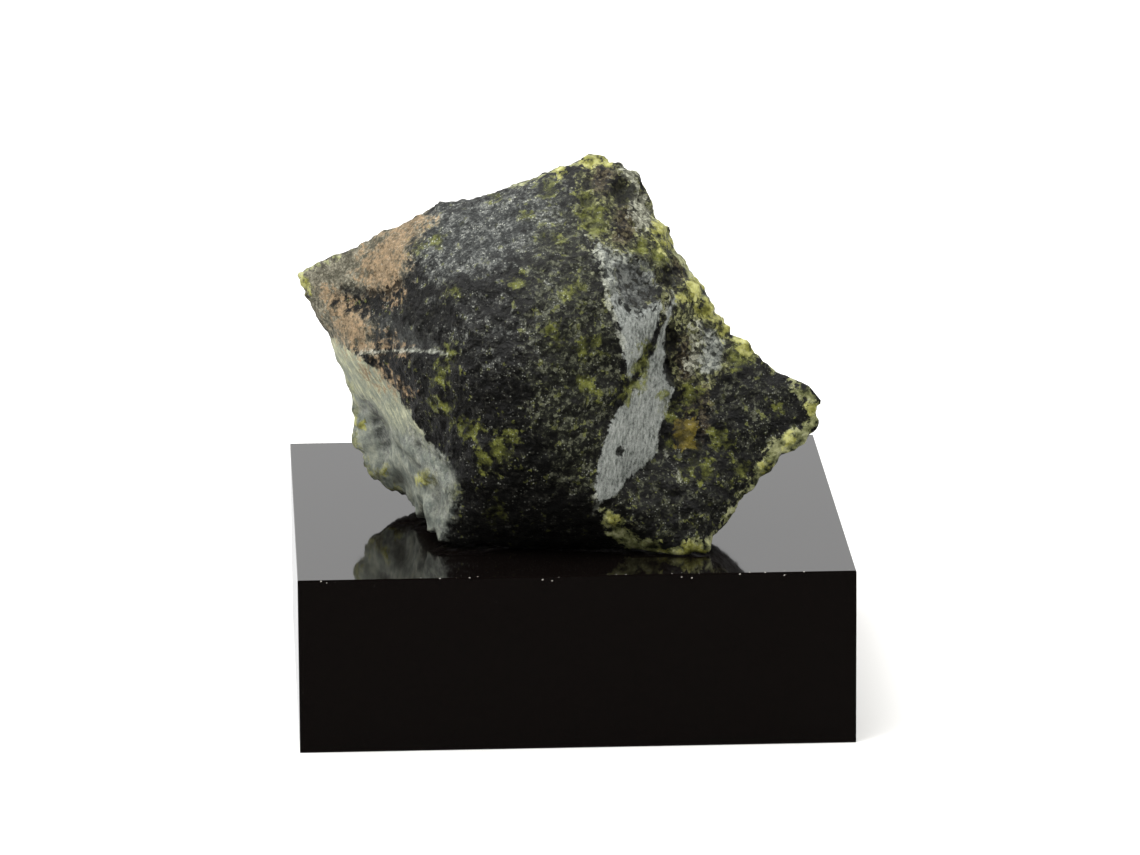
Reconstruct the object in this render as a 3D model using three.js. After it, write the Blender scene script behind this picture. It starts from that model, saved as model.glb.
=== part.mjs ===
// A broken chunk of chrome diopside rock, resting on a square block of polished black acrylic.
// Millimetres, +Z up. The origin is the middle of the block's underside, and -Y is the front.
import * as THREE from 'three';
import { ConvexHull } from 'three/addons/math/ConvexHull.js';
import { ImprovedNoise } from 'three/addons/math/ImprovedNoise.js';
import { mergeVertices } from 'three/addons/utils/BufferGeometryUtils.js';

// Display block: a square sawn from thick cast sheet, with its arrises just taken off
const BLOCK_SIDE = 30;
const BLOCK_HEIGHT = 9.6;
const BLOCK_CHAMFER = 0.04;

// The rock stands this far clear of the block, so that the two never cut into each other
const REST_GAP = 0.05;

// Stone corners, as [x, y, z] with z measured up from the block's top face.
// Each run follows one line that shows on the rock.
const SKYLINE_TO_PEAK = [
  [-14.75, 1.0, 13.2], [-13.25, 0.6, 13.85], [-11.9, 0.1, 14.6], [-10.5, -0.4, 15.5],
  [-8.8, -1.0, 16.3], [-6.8, -1.9, 17.6], [-4.6, -2.4, 18.1], [-2.4, -2.6, 18.9],
  [-0.7, -2.6, 19.6], [1.0, -2.5, 20.2], [2.2, -2.2, 20.35],
];
const SKYLINE_TO_RIGHT_TIP = [
  [3.0, -2.4, 20.0], [3.8, -2.7, 19.7], [4.15, -3.2, 18.8], [4.0, -3.6, 18.0],
  [4.9, -4.0, 17.1], [5.5, -4.4, 16.4], [5.8, -4.7, 15.5], [6.5, -5.0, 14.8],
  [7.1, -5.4, 13.5], [7.6, -5.7, 12.7], [8.4, -6.0, 11.8], [9.0, -6.2, 11.0],
  [9.8, -6.4, 10.6], [10.6, -6.8, 9.6], [11.9, -7.0, 8.75], [13.25, -7.2, 8.2],
  [13.6, -7.4, 7.4],
];
const RIGHT_RIM = [
  [13.45, -7.6, 6.2], [12.6, -7.9, 5.1], [11.6, -8.2, 4.8], [10.6, -8.7, 3.9],
  [9.4, -9.3, 2.9], [8.6, -9.9, 1.7], [7.6, -10.6, 0.8], [7.3, -11.2, 0.0],
];
const FOOT_LINE = [
  [5.7, -11.3, 0.0], [3.6, -10.6, 0.1], [1.5, -9.9, 0.0], [-1.0, -9.5, 0.0],
  [-3.4, -9.3, 0.1], [-5.6, -9.2, 0.3], [-7.2, -8.8, 0.4],
];
const LEFT_UNDERCUT = [
  [-7.9, -7.2, 0.4], [-8.2, -3.5, 0.5], [-8.6, -0.8, 0.7], [-9.1, 0.0, 1.1],
  [-9.8, 0.2, 1.1], [-10.5, 0.4, 1.5], [-11.1, 0.6, 2.3],
];
const LEFT_OUTLINE = [
  [-11.4, 0.8, 3.3], [-11.5, 0.9, 4.3], [-11.5, 0.9, 5.8], [-11.85, 0.9, 6.8],
  [-12.65, 0.7, 8.4], [-13.05, 0.6, 9.9], [-13.7, 0.6, 11.0], [-14.2, 0.7, 12.0],
];
const LEFT_FRONT_EDGE = [
  [-12.1, -1.6, 9.4], [-11.2, -3.2, 9.1], [-10.0, -4.8, 8.4], [-9.1, -5.9, 7.7],
  [-8.4, -6.9, 6.7], [-7.4, -8.0, 5.3], [-6.7, -8.9, 4.0], [-6.5, -9.3, 3.0],
  [-6.8, -9.2, 1.7],
];
const FIBROUS_FACE = [
  [-10.6, -1.8, 6.4], [-9.6, -4.0, 5.4], [-8.7, -5.8, 4.7], [-7.7, -7.2, 3.8],
  [-7.5, -7.6, 2.4], [-9.4, -2.6, 3.6], [-8.5, -3.4, 2.4], [-10.3, -0.5, 3.6],
  [-7.9, -5.5, 1.1],
];
const STAINED_CORNER = [
  [-12.2, -1.0, 12.7], [-10.8, -2.4, 13.1], [-9.8, -3.6, 13.4], [-12.6, -0.9, 11.1],
  [-11.2, -3.0, 10.9], [-9.5, -4.8, 11.9],
];
const MAIN_FACE_TOP = [
  [-8.5, -4.2, 15.6], [-6.3, -4.9, 16.6], [-3.6, -4.9, 17.6], [-1.2, -4.7, 18.4],
  [1.0, -4.6, 18.9],
];
const MAIN_FACE = [
  [-1.6, -8.2, 16.4], [-4.3, -8.6, 15.4], [-6.7, -8.0, 14.2], [-7.6, -7.8, 12.3],
  [-2.8, -11.0, 13.8], [-0.4, -10.9, 14.2], [-5.5, -10.3, 12.4], [-9.2, -6.4, 10.5],
  [-7.1, -9.2, 10.8], [-0.7, -12.0, 11.7], [-3.4, -12.3, 10.8], [-5.8, -11.2, 9.4],
  [-7.6, -8.8, 8.6], [-2.4, -12.8, 8.4], [-5.0, -11.6, 7.3], [0.0, -12.6, 8.0],
  [-2.9, -12.5, 5.6], [-5.6, -10.9, 4.6], [-0.5, -12.6, 5.3], [-4.5, -11.0, 2.7],
  [-1.6, -11.5, 2.8], [0.8, -11.6, 2.4],
];
const CREST = [
  [1.1, -7.6, 16.8], [1.7, -8.8, 15.8], [1.7, -9.6, 14.9], [2.0, -10.3, 13.8],
  [2.6, -10.8, 12.5], [2.9, -11.0, 11.1], [2.7, -11.0, 9.7], [2.5, -11.0, 8.4],
  [1.9, -11.5, 7.4], [1.4, -12.0, 5.9], [1.1, -12.3, 4.2], [1.3, -12.2, 3.3],
];
const BLADE_RIGHT_EDGE = [
  [2.0, -11.6, 3.5], [3.7, -10.1, 4.6], [4.6, -9.3, 5.5], [4.9, -9.0, 6.8],
  [5.5, -8.4, 8.0], [5.2, -8.6, 9.2], [5.0, -8.7, 10.4], [4.6, -9.1, 11.3],
];
const BLADE_LEFT_EDGE = [[3.3, -10.2, 9.0], [3.7, -9.9, 9.6], [4.1, -9.5, 10.4]];
const UPPER_GREY_FACET = [[4.1, -9.8, 11.5], [4.5, -9.2, 13.2], [3.7, -9.0, 14.4], [4.7, -7.4, 15.1]];
const ROUGH_SHOULDER = [
  [2.4, -5.6, 18.2], [3.2, -4.2, 19.3], [3.9, -6.3, 16.7], [5.3, -6.4, 15.3],
  [5.6, -8.0, 13.6], [5.4, -8.6, 12.0], [6.1, -7.2, 13.3], [6.8, -7.6, 11.2],
  [7.7, -7.4, 10.4], [6.2, -8.2, 9.4],
];
const LOWER_RIGHT_FACE = [
  [9.0, -7.6, 9.3], [10.6, -7.7, 8.1], [12.2, -7.7, 7.3], [7.5, -8.6, 8.0],
  [6.6, -9.2, 6.1], [9.7, -8.8, 6.3], [11.7, -8.3, 6.1], [8.0, -9.9, 4.4],
  [5.2, -10.6, 3.8], [9.2, -9.5, 3.9], [6.8, -11.0, 1.9], [3.6, -11.4, 2.1],
];
// The hidden side falls away behind the skyline in an upper and a lower break, then turns under
const BACK_UPPER_EDGE = [
  [-12.6, 2.6, 11.6], [-9.8, 5.0, 12.8], [-5.6, 6.2, 14.4], [-1.4, 6.2, 15.6],
  [2.6, 5.0, 15.0], [5.4, 2.4, 12.6], [7.4, -0.4, 10.4], [9.8, -3.2, 8.2],
  [12.2, -5.4, 6.9],
];
const BACK_WALL = [
  [-11.4, 5.4, 8.0], [-7.0, 8.0, 8.8], [-2.2, 9.0, 9.6], [2.4, 8.6, 9.6],
  [6.0, 6.0, 8.6], [8.6, 2.4, 7.0], [9.9, -1.6, 5.8], [11.4, -4.8, 5.0],
];
const BACK_LOWER_EDGE = [
  [-10.8, 5.0, 3.6], [-7.2, 8.4, 3.6], [-2.4, 9.6, 4.2], [2.4, 9.2, 4.2],
  [6.2, 6.8, 3.6], [8.8, 2.8, 3.0], [9.4, -1.0, 2.8], [9.6, -5.4, 2.8],
];
const BACK_FOOT = [
  [-8.8, 3.0, 1.0], [-6.0, 5.8, 0.5], [-2.6, 6.6, 0.2], [0.8, 6.2, 0.0],
  [3.8, 4.6, 0.0], [6.2, 1.6, 0.4], [7.4, -2.4, 0.9], [8.0, -6.6, 1.2],
  [7.8, -9.2, 0.6],
];
const UNDERSIDE = [
  [-6.9, -1.6, 0.4], [-5.4, 2.2, 0.5], [-5.6, -5.8, 0.5], [-1.8, 3.0, 0.6],
  [2.4, 2.2, 0.5], [-1.6, -1.4, 0.8], [-2.2, -6.0, 0.4], [2.4, -2.2, 0.8],
  [4.8, -5.4, 0.6], [1.6, -7.0, 0.4], [5.4, -8.8, 0.3],
];
const STONE_CORNERS = [
  SKYLINE_TO_PEAK, SKYLINE_TO_RIGHT_TIP, RIGHT_RIM, FOOT_LINE, LEFT_UNDERCUT, LEFT_OUTLINE,
  LEFT_FRONT_EDGE, FIBROUS_FACE, STAINED_CORNER, MAIN_FACE_TOP, MAIN_FACE, CREST,
  BLADE_RIGHT_EDGE, BLADE_LEFT_EDGE, UPPER_GREY_FACET, ROUGH_SHOULDER, LOWER_RIGHT_FACE,
  BACK_UPPER_EDGE, BACK_WALL, BACK_LOWER_EDGE, BACK_FOOT, UNDERSIDE,
].flat();

// Every part of the skin can be seen from the heart, and all relief is raised along lines from it
const HEART = [-0.5, -2.8, 8.2];

// Each facet between three corners is split into this many steps a side
const FACET_STEPS = 4;

// Edges that stay keen; the skin between them is eased round over a few passes
const KEEN_EDGES = [
  CREST, BLADE_RIGHT_EDGE, LEFT_FRONT_EDGE, RIGHT_RIM, LEFT_OUTLINE,
  SKYLINE_TO_PEAK, SKYLINE_TO_RIGHT_TIP, FOOT_LINE, LEFT_UNDERCUT, BACK_UPPER_EDGE, BACK_LOWER_EDGE,
];
const KEEN_REACH = 0.9;
const EASING_PASSES = 2;
const EASING = 0.5;

// Flat breaks that trim the hidden side, each a plane through a point with the way it faces
const CLEAVAGE_PLANES = [
  { through: [-6.8, -1.6, 17.9], facing: [-0.226, 0.585, 0.779] },
  { through: [-6.0, 6.9, 8.0], facing: [-0.33, 0.93, 0.14] },
  { through: [5.6, 4.4, 8.0], facing: [0.62, 0.77, 0.15] },
  { through: [-9.5, 4.5, 4.0], facing: [-0.75, 0.5, -0.43] },
  { through: [8.2, 0.0, 3.0], facing: [0.6, 0.35, -0.72] },
  { through: [-1.0, 7.6, 2.4], facing: [0.05, 0.7, -0.71] },
  { through: [3.4, 3.6, 13.2], facing: [0.5, 0.62, 0.6] },
];

// The broken skin: slow swells and a finer lumpiness, in millimetres of height
const SWELL = { spacing: 3.6, height: 0.2 };
const GRAIN = { spacing: 1.3, height: 0.14 };

// The two grey cleavage facets are nearly flat, and so is the fibrous face
const FLAT_STRIPS = [
  { from: [1.2, -12.2, 3.8], to: [4.7, -9.3, 9.6], halfWidth: 1.3 },
  { from: [2.3, -10.6, 13.4], to: [3.8, -9.8, 11.2], halfWidth: 1.0 },
];
const ROUGH_STRIPS = [
  { from: [4.2, -3.6, 18.4], to: [9.4, -6.4, 10.6], halfWidth: 2.6 },
  { from: [13.2, -7.4, 7.6], to: [7.6, -10.6, 0.8], halfWidth: 1.2 },
];

// Rounded knobs stand out and pits sink in, each [x, y, z] with its radius and height
const KNOBS = [
  { at: [5.1, -4.6, 16.2], radius: 0.7, height: 0.3 },
  { at: [6.6, -6.2, 13.3], radius: 0.7, height: 0.25 },
  { at: [7.5, -6.8, 11.8], radius: 0.7, height: 0.2 },
  { at: [3.8, -3.2, 19.2], radius: 0.8, height: 0.25 },
  { at: [12.0, -8.0, 5.6], radius: 0.8, height: 0.3 },
  { at: [-9.7, -0.4, 1.6], radius: 0.8, height: 0.35 },
  { at: [-11.1, -0.2, 6.7], radius: 0.9, height: 0.3 },
  { at: [5.9, -11.4, 0.8], radius: 1.0, height: 0.25 },
];
const PITS = [
  { at: [3.8, -8.8, 14.4], radius: 1.0, height: -0.5 },
  { at: [5.5, -7.4, 14.5], radius: 0.6, height: -0.7 },
  { at: [5.5, -8.5, 11.3], radius: 0.5, height: -0.5 },
  { at: [5.4, -8.6, 9.9], radius: 0.5, height: -0.5 },
  { at: [3.0, -4.8, 18.9], radius: 0.8, height: -0.45 },
  { at: [-9.9, -1.4, 4.6], radius: 1.1, height: -0.4 },
];

// Steps run from one end to the other; the skin just below each drops in, and comes back by its fade.
// A drop under nothing sinks the skin just above the line instead.
const STEPS = [
  { from: [-12.4, -0.8, 12.8], to: [-9.0, -4.4, 13.9], drop: 0.4, fade: 2.2 },
  { from: [-11.8, -2.4, 9.5], to: [-7.1, -9.2, 10.9], drop: -0.3, fade: 1.6 },
  { from: [-9.4, 5.6, 10.8], to: [4.4, 6.0, 6.2], drop: 0.6, fade: 3.2 },
  { from: [-10.6, 2.2, 13.0], to: [1.2, 0.6, 17.4], drop: 0.4, fade: 2.4 },
];
const STEP_BLUR = 0.45;
const STEP_END_BLUR = 0.8;

function aboveBlock([x, y, z]) {
  return new THREE.Vector3(x, y, z + BLOCK_HEIGHT + REST_GAP);
}

const heart = aboveBlock(HEART);
const noise = new ImprovedNoise();

// The corners are joined as a net on a ball round the heart, so that the skin closes by itself
function cornerFacets() {
  const cornerOf = new Map();
  for (const corner of STONE_CORNERS.map(aboveBlock)) {
    cornerOf.set(corner.clone().sub(heart).normalize(), corner);
  }
  const hull = new ConvexHull().setFromPoints([...cornerOf.keys()]);
  return hull.faces.map((face) => {
    const first = face.edge;
    return [first, first.next, first.next.next].map((edge) => cornerOf.get(edge.head().point));
  });
}

// A facet's own small triangles, each side parted into equal steps
function splitFacet([a, b, c], steps) {
  const place = (i, j) => new THREE.Vector3()
    .addScaledVector(a, (steps - i - j) / steps)
    .addScaledVector(b, i / steps)
    .addScaledVector(c, j / steps);
  const triangles = [];
  for (let i = 0; i < steps; i += 1) {
    for (let j = 0; j < steps - i; j += 1) {
      triangles.push(place(i, j), place(i + 1, j), place(i, j + 1));
      if (i + j < steps - 1) triangles.push(place(i + 1, j), place(i + 1, j + 1), place(i, j + 1));
    }
  }
  return triangles;
}

function distanceToLine(point, from, to) {
  const line = new THREE.Line3(aboveBlock(from), aboveBlock(to));
  const nearest = line.closestPointToPoint(point, true, new THREE.Vector3());
  return nearest.distanceTo(point);
}

function keenness(point) {
  let nearest = Infinity;
  for (const edge of KEEN_EDGES) {
    for (let i = 1; i < edge.length; i += 1) {
      nearest = Math.min(nearest, distanceToLine(point, edge[i - 1], edge[i]));
    }
  }
  return 1 - THREE.MathUtils.smoothstep(nearest, 0, KEEN_REACH);
}

// Each point moves part of the way to the middle of its neighbours, and hardly at all on a keen edge
function easeSkin(points, triangles) {
  const neighbours = points.map(() => new Set());
  for (let i = 0; i < triangles.length; i += 3) {
    for (let side = 0; side < 3; side += 1) {
      const here = triangles[i + side];
      const there = triangles[i + ((side + 1) % 3)];
      neighbours[here].add(there);
      neighbours[there].add(here);
    }
  }
  const softness = points.map((point) => EASING * (1 - keenness(point)));
  let eased = points;
  for (let pass = 0; pass < EASING_PASSES; pass += 1) {
    const before = eased;
    eased = before.map((point, index) => {
      const middle = new THREE.Vector3();
      for (const other of neighbours[index]) middle.add(before[other]);
      middle.divideScalar(neighbours[index].size);
      return point.clone().lerp(middle, softness[index]);
    });
  }
  return eased;
}

// A point outside a cleavage plane comes in along its own line from the heart until it meets the plane
function trimToPlanes(point) {
  for (const { through, facing } of CLEAVAGE_PLANES) {
    const normal = new THREE.Vector3(...facing).normalize();
    const arm = point.clone().sub(heart);
    const allowed = aboveBlock(through).sub(heart).dot(normal);
    const reach = arm.dot(normal);
    if (reach > allowed) point.copy(heart).addScaledVector(arm, allowed / reach);
  }
}

function noiseAt(point, { spacing, height }) {
  return height * noise.noise(point.x / spacing, point.y / spacing, point.z / spacing);
}

function nearStrips(point, strips) {
  const shares = strips.map(({ from, to, halfWidth }) => {
    const distance = distanceToLine(point, from, to);
    return 1 - THREE.MathUtils.smoothstep(distance, 0.6 * halfWidth, 1.3 * halfWidth);
  });
  return Math.max(...shares);
}

function bumpHeight(point) {
  let height = 0;
  for (const bump of [...KNOBS, ...PITS]) {
    const share = point.distanceTo(aboveBlock(bump.at)) / bump.radius;
    height += bump.height * Math.exp(-share * share);
  }
  return height;
}

// How far below the step's line a point is, and how far along it, give the depth of the drop there
function stepHeight(point) {
  const { smoothstep } = THREE.MathUtils;
  let height = 0;
  for (const { from, to, drop, fade } of STEPS) {
    const start = aboveBlock(from);
    const along = aboveBlock(to).sub(start);
    const length = along.length();
    along.normalize();
    const offset = point.clone().sub(start);
    const travelled = offset.dot(along);
    offset.addScaledVector(along, -travelled);
    const side = Math.sign(drop);
    const below = -side * offset.z;
    const sunk = smoothstep(below, 0, STEP_BLUR) * (1 - smoothstep(below, STEP_BLUR, fade));
    const started = smoothstep(travelled, -STEP_END_BLUR, STEP_END_BLUR);
    const ended = 1 - smoothstep(travelled, length - STEP_END_BLUR, length + STEP_END_BLUR);
    const nearby = 1 - smoothstep(offset.length(), fade, 2 * fade);
    height -= Math.abs(drop) * sunk * started * ended * nearby;
  }
  return height;
}

function reliefHeight(point) {
  const calm = 1 - 0.9 * nearStrips(point, FLAT_STRIPS);
  const rough = 1 + 0.9 * nearStrips(point, ROUGH_STRIPS);
  const broken = noiseAt(point, SWELL) + rough * noiseAt(point, GRAIN);
  return calm * broken + bumpHeight(point) + stepHeight(point);
}

function geometryFrom(points) {
  const positions = new Float32Array(points.flatMap((point) => point.toArray()));
  const geometry = new THREE.BufferGeometry();
  geometry.setAttribute('position', new THREE.BufferAttribute(positions, 3));
  return geometry;
}

function makeStone() {
  const flat = cornerFacets().flatMap((facet) => splitFacet(facet, FACET_STEPS));
  const geometry = mergeVertices(geometryFrom(flat), 1e-3);
  const position = geometry.getAttribute('position');
  const points = [];
  for (let i = 0; i < position.count; i += 1) {
    points.push(new THREE.Vector3().fromBufferAttribute(position, i));
  }
  const floor = BLOCK_HEIGHT + REST_GAP;
  easeSkin(points, geometry.getIndex().array).forEach((point, index) => {
    trimToPlanes(point);
    const outward = point.clone().sub(heart).normalize();
    point.addScaledVector(outward, reliefHeight(point));
    position.setXYZ(index, point.x, point.y, Math.max(point.z, floor));
  });
  geometry.computeVertexNormals();
  const material = new THREE.MeshStandardMaterial({ color: 0x3b3f38, roughness: 0.75, metalness: 0 });
  const stone = new THREE.Mesh(geometry, material);
  stone.name = 'diopside';
  return stone;
}

// A square outline raised straight up, with a narrow flat chamfer round every face
function makeBlock() {
  const half = BLOCK_SIDE / 2 - BLOCK_CHAMFER;
  const outline = new THREE.Shape();
  outline.moveTo(-half, -half);
  outline.lineTo(half, -half);
  outline.lineTo(half, half);
  outline.lineTo(-half, half);
  outline.closePath();
  const geometry = new THREE.ExtrudeGeometry(outline, {
    depth: BLOCK_HEIGHT - 2 * BLOCK_CHAMFER,
    bevelEnabled: true,
    bevelSize: BLOCK_CHAMFER,
    bevelThickness: BLOCK_CHAMFER,
    bevelSegments: 1,
  });
  const material = new THREE.MeshStandardMaterial({ color: 0x0b0908, roughness: 0.08, metalness: 0 });
  const block = new THREE.Mesh(geometry, material);
  block.name = 'display_block';
  block.position.z = BLOCK_CHAMFER;
  return block;
}

const model = new THREE.Group();
model.add(makeBlock(), makeStone());

export default model;
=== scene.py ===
"""A broken chunk of chrome diopside rock, resting on a square block of polished black acrylic.

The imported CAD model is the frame. The stone is worked out again on a fine mesh that keeps the
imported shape, and the block stays as it is with a better finish. Meshes are in metres, +Z up,
and -Y is the front; every name that ends in _MM, and every painted outline, is in millimetres.
"""

import math
from functools import partial
from types import SimpleNamespace

import bpy
import numpy as np
from mathutils import Matrix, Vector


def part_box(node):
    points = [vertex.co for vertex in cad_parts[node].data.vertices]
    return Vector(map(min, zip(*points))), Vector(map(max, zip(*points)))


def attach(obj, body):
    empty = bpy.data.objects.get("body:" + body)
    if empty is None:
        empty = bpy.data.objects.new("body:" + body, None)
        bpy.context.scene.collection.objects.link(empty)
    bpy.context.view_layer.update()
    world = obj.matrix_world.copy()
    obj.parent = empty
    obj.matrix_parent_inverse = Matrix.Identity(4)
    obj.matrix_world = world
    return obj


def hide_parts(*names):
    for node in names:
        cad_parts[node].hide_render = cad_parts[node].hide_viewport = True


bl_info = {
    "name": "Chrome diopside on a display block",
    "version": (1, 0, 0),
    "blender": (4, 5, 0),
    "location": "3D View > Sidebar > Diopside",
    "description": "Builds the rock, the finish of its block and the studio round them",
    "category": "Object",
}

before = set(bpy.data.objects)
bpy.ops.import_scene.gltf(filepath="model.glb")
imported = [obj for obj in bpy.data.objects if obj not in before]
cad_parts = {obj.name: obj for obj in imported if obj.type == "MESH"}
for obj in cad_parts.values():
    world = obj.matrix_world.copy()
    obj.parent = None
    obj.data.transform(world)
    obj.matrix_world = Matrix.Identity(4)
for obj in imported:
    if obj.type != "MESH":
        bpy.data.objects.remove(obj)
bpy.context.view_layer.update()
stone_low, stone_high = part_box("diopside")
block_low, block_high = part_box("display_block")

MM = 0.001

# Every part of the stone's skin can be seen from this point inside it
HEART_MM = np.array([-0.5, -2.8, 17.85])
# Directions are worked through in this many batches, to save memory
BATCHES = 96
# How often the seams are eased, and the moves in millimetres between which easing gives way to
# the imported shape
EASING_ROUNDS = 20
KEEN_MM = (0.05, 0.15)
# Cosines of the angle between the skin's normal and the way to the camera, from where painted
# marks don't count to where they count in full: for most grounds, and for the rind
FRONT_COSINES = (-0.35, -0.05)
WRAP_COSINES = (-0.75, -0.35)
# Heights above the block between which the relief rises to its full size
FOOT_MM = (-0.4, 1.2)
# Heights above the block between which the painted shade beside it thins out
DARK_FOOT_MM = (1.5, 5.0)
# The way that the fibres of the left face run, and how much of each point's place along it is
# taken out, which draws a pattern out along them
FIBRE_RUN = (0.55, -0.5, -0.67)
FIBRE_STRETCH = 0.9
# Shares of the broken relief that the grey facets and the fibrous face lose
FACET_LOSS = 0.85
FIBRE_LOSS = 0.75
# Brings gradient noise to about -1 to 1
NOISE_GAIN = 1.6

# Outlines painted on the stone, as across and up in millimetres from the middle of the view,
# on an upright plane that faces the camera
BLADE_FACET = (
    (1.6, -4.1), (1.4, -3.3), (1.7, -1.5), (2.2, 0.1), (2.8, 1.2), (3.5, 2.1), (3.9, 2.7),
    (4.4, 3.8), (4.8, 4.6), (5.3, 6.1), (5.7, 7.3), (5.9, 7.1), (5.5, 5.8), (5.2, 4.6),
    (5.2, 3.8), (5.4, 2.7), (5.8, 2.1), (5.6, 1.5), (5.3, 0.7), (5.0, 0.1), (4.9, -0.9),
    (4.8, -1.3), (4.0, -2.2), (2.7, -3.4), (2.2, -3.9),
)
UPPER_FACET = (
    (2.3, 7.2), (2.4, 6.5), (2.7, 5.7), (2.9, 4.6), (3.1, 3.4), (3.3, 2.5), (3.7, 3.3),
    (4.1, 4.2), (4.6, 5.0), (4.9, 5.8), (5.0, 6.4), (4.9, 7.0), (4.4, 6.9), (3.9, 6.6),
    (3.3, 6.7), (2.9, 7.1), (2.6, 7.5),
)
SHOULDER_FACETS = (
    (
        (7.3, 5.6), (7.9, 5.4), (8.4, 4.8), (8.5, 4.0), (8.1, 3.2), (7.4, 3.0), (7.2, 4.0),
        (7.4, 4.8),
    ),
    (
        (1.3, 10.5), (1.8, 10.0), (2.3, 9.6), (3.2, 9.5), (4.1, 9.3), (4.7, 8.8), (4.5, 8.4),
        (3.9, 8.8), (3.2, 8.9), (2.8, 8.6), (2.7, 7.9), (2.8, 7.2), (2.5, 6.9), (2.0, 7.6),
        (1.7, 8.6), (1.3, 9.5),
    ),
)
FIBROUS_FACE = (
    (-13.5, 5.1), (-12.9, 4.8), (-12.2, 4.3), (-11.5, 3.8), (-10.8, 3.3), (-10.2, 2.7),
    (-9.4, 2.0), (-9.1, 1.2), (-8.6, 0.4), (-8.0, -0.5), (-7.4, -1.4), (-6.8, -2.2),
    (-6.5, -3.1), (-6.4, -3.8), (-6.6, -4.5), (-6.9, -5.3), (-7.2, -6.1), (-7.8, -6.9),
    (-8.8, -6.4), (-9.8, -5.1), (-11.2, -4.0), (-12.9, -2.4), (-13.2, 0.4), (-13.5, 2.6),
    (-14.2, 4.3),
)
LOBES = (
    (-12.6, 2.0), (-11.6, 1.7), (-10.9, 1.3), (-10.4, 0.4), (-9.8, 0.0), (-9.0, -0.2),
    (-8.0, -1.0), (-7.0, -1.7), (-6.2, -2.6), (-5.9, -3.6), (-6.1, -4.6), (-6.4, -5.4),
    (-7.0, -6.6), (-7.8, -7.1), (-8.8, -6.2), (-9.6, -4.7), (-11.0, -4.0), (-12.8, -2.4),
    (-13.0, 0.1),
)
# Painted shade along a crease among the lobes
LOBE_CREASE = (
    (-11.4, 1.5), (-10.8, 0.9), (-10.3, 0.0), (-10.0, -0.9), (-10.4, -1.9), (-10.6, -2.9),
)
# Painted shade that darkens the lower right of the fibrous face
LOWER_BAND = (
    (-9.0, 0.1), (-8.0, -0.7), (-7.2, -1.7), (-6.5, -2.8), (-6.5, -3.7), (-6.8, -4.8),
    (-7.1, -6.1), (-7.5, -5.7), (-7.7, -4.6), (-7.6, -3.5), (-7.9, -2.4), (-8.6, -1.4),
    (-9.2, -0.6),
)
WEATHERED_CORNER = (
    (-14.9, 8.8), (-12.7, 9.7), (-10.9, 10.9), (-9.4, 11.6), (-8.1, 12.2), (-7.5, 11.4),
    (-8.7, 10.1), (-9.1, 8.2), (-10.1, 7.4), (-12.4, 7.6), (-13.3, 7.1), (-12.4, 6.5),
    (-10.9, 5.9), (-10.8, 4.3), (-13.0, 4.2), (-14.3, 6.1), (-15.1, 7.9),
)
IRON_STAINS = (
    (
        (-11.5, 9.2), (-10.9, 10.0), (-10.3, 10.7), (-9.6, 11.1), (-9.0, 11.4), (-8.6, 10.8),
        (-9.0, 10.1), (-9.3, 9.7), (-9.2, 9.2), (-9.4, 8.4), (-9.5, 7.6), (-10.3, 7.4),
        (-11.1, 7.7), (-11.6, 8.3),
    ),
    ((-9.5, 11.3), (-8.3, 12.0), (-8.0, 11.6), (-8.6, 10.7), (-9.3, 10.4)),
    (
        (-13.6, 7.6), (-13.2, 7.7), (-12.7, 7.1), (-12.1, 6.5), (-11.5, 5.9), (-11.1, 5.2),
        (-11.1, 4.3), (-11.9, 4.2), (-12.5, 4.9), (-13.1, 6.1),
    ),
    ((-11.1, 4.8), (-9.8, 4.7), (-9.4, 4.3), (-10.6, 4.2)),
    (
        (-11.3, 3.5), (-10.8, 3.3), (-10.2, 2.7), (-9.5, 2.2), (-9.2, 1.9), (-9.8, 2.0),
        (-10.6, 2.6), (-11.2, 3.0),
    ),
)
AMBER_PATCH = (
    (5.7, 0.3), (6.2, 0.5), (7.0, 0.4), (7.1, -0.1), (6.9, -0.7), (7.2, -1.2), (6.5, -1.2),
    (5.9, -1.1), (5.6, -0.4),
)
ROUGH_SHOULDER = (
    (0.4, 13.6), (1.2, 14.6), (2.2, 14.6), (3.3, 14.9), (4.2, 13.6), (5.0, 11.8), (6.2, 9.6),
    (7.6, 7.4), (8.8, 5.6), (10.2, 4.0), (9.0, 3.4), (7.6, 2.1), (6.2, 1.8), (5.5, 2.9),
    (5.4, 4.6), (5.1, 5.6), (4.6, 6.6), (3.9, 6.4), (3.0, 6.6), (2.3, 6.4), (1.9, 7.3),
    (1.7, 8.3), (1.4, 9.2), (1.0, 10.2), (0.6, 12.0),
)
PALE_CRUSTS = (
    (
        (3.3, 12.7), (3.8, 13.0), (4.2, 12.4), (4.6, 11.8), (4.5, 11.1), (4.1, 10.8),
        (3.6, 11.4), (3.4, 12.1),
    ),
    (
        (6.7, 5.6), (7.2, 5.8), (7.4, 4.8), (7.2, 3.6), (6.8, 3.1), (6.5, 3.6), (6.7, 4.6),
    ),
    ((2.7, 14.5), (3.2, 14.5), (3.6, 14.1), (3.9, 13.5), (3.6, 13.1), (3.3, 13.6), (2.9, 13.9)),
)
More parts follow.
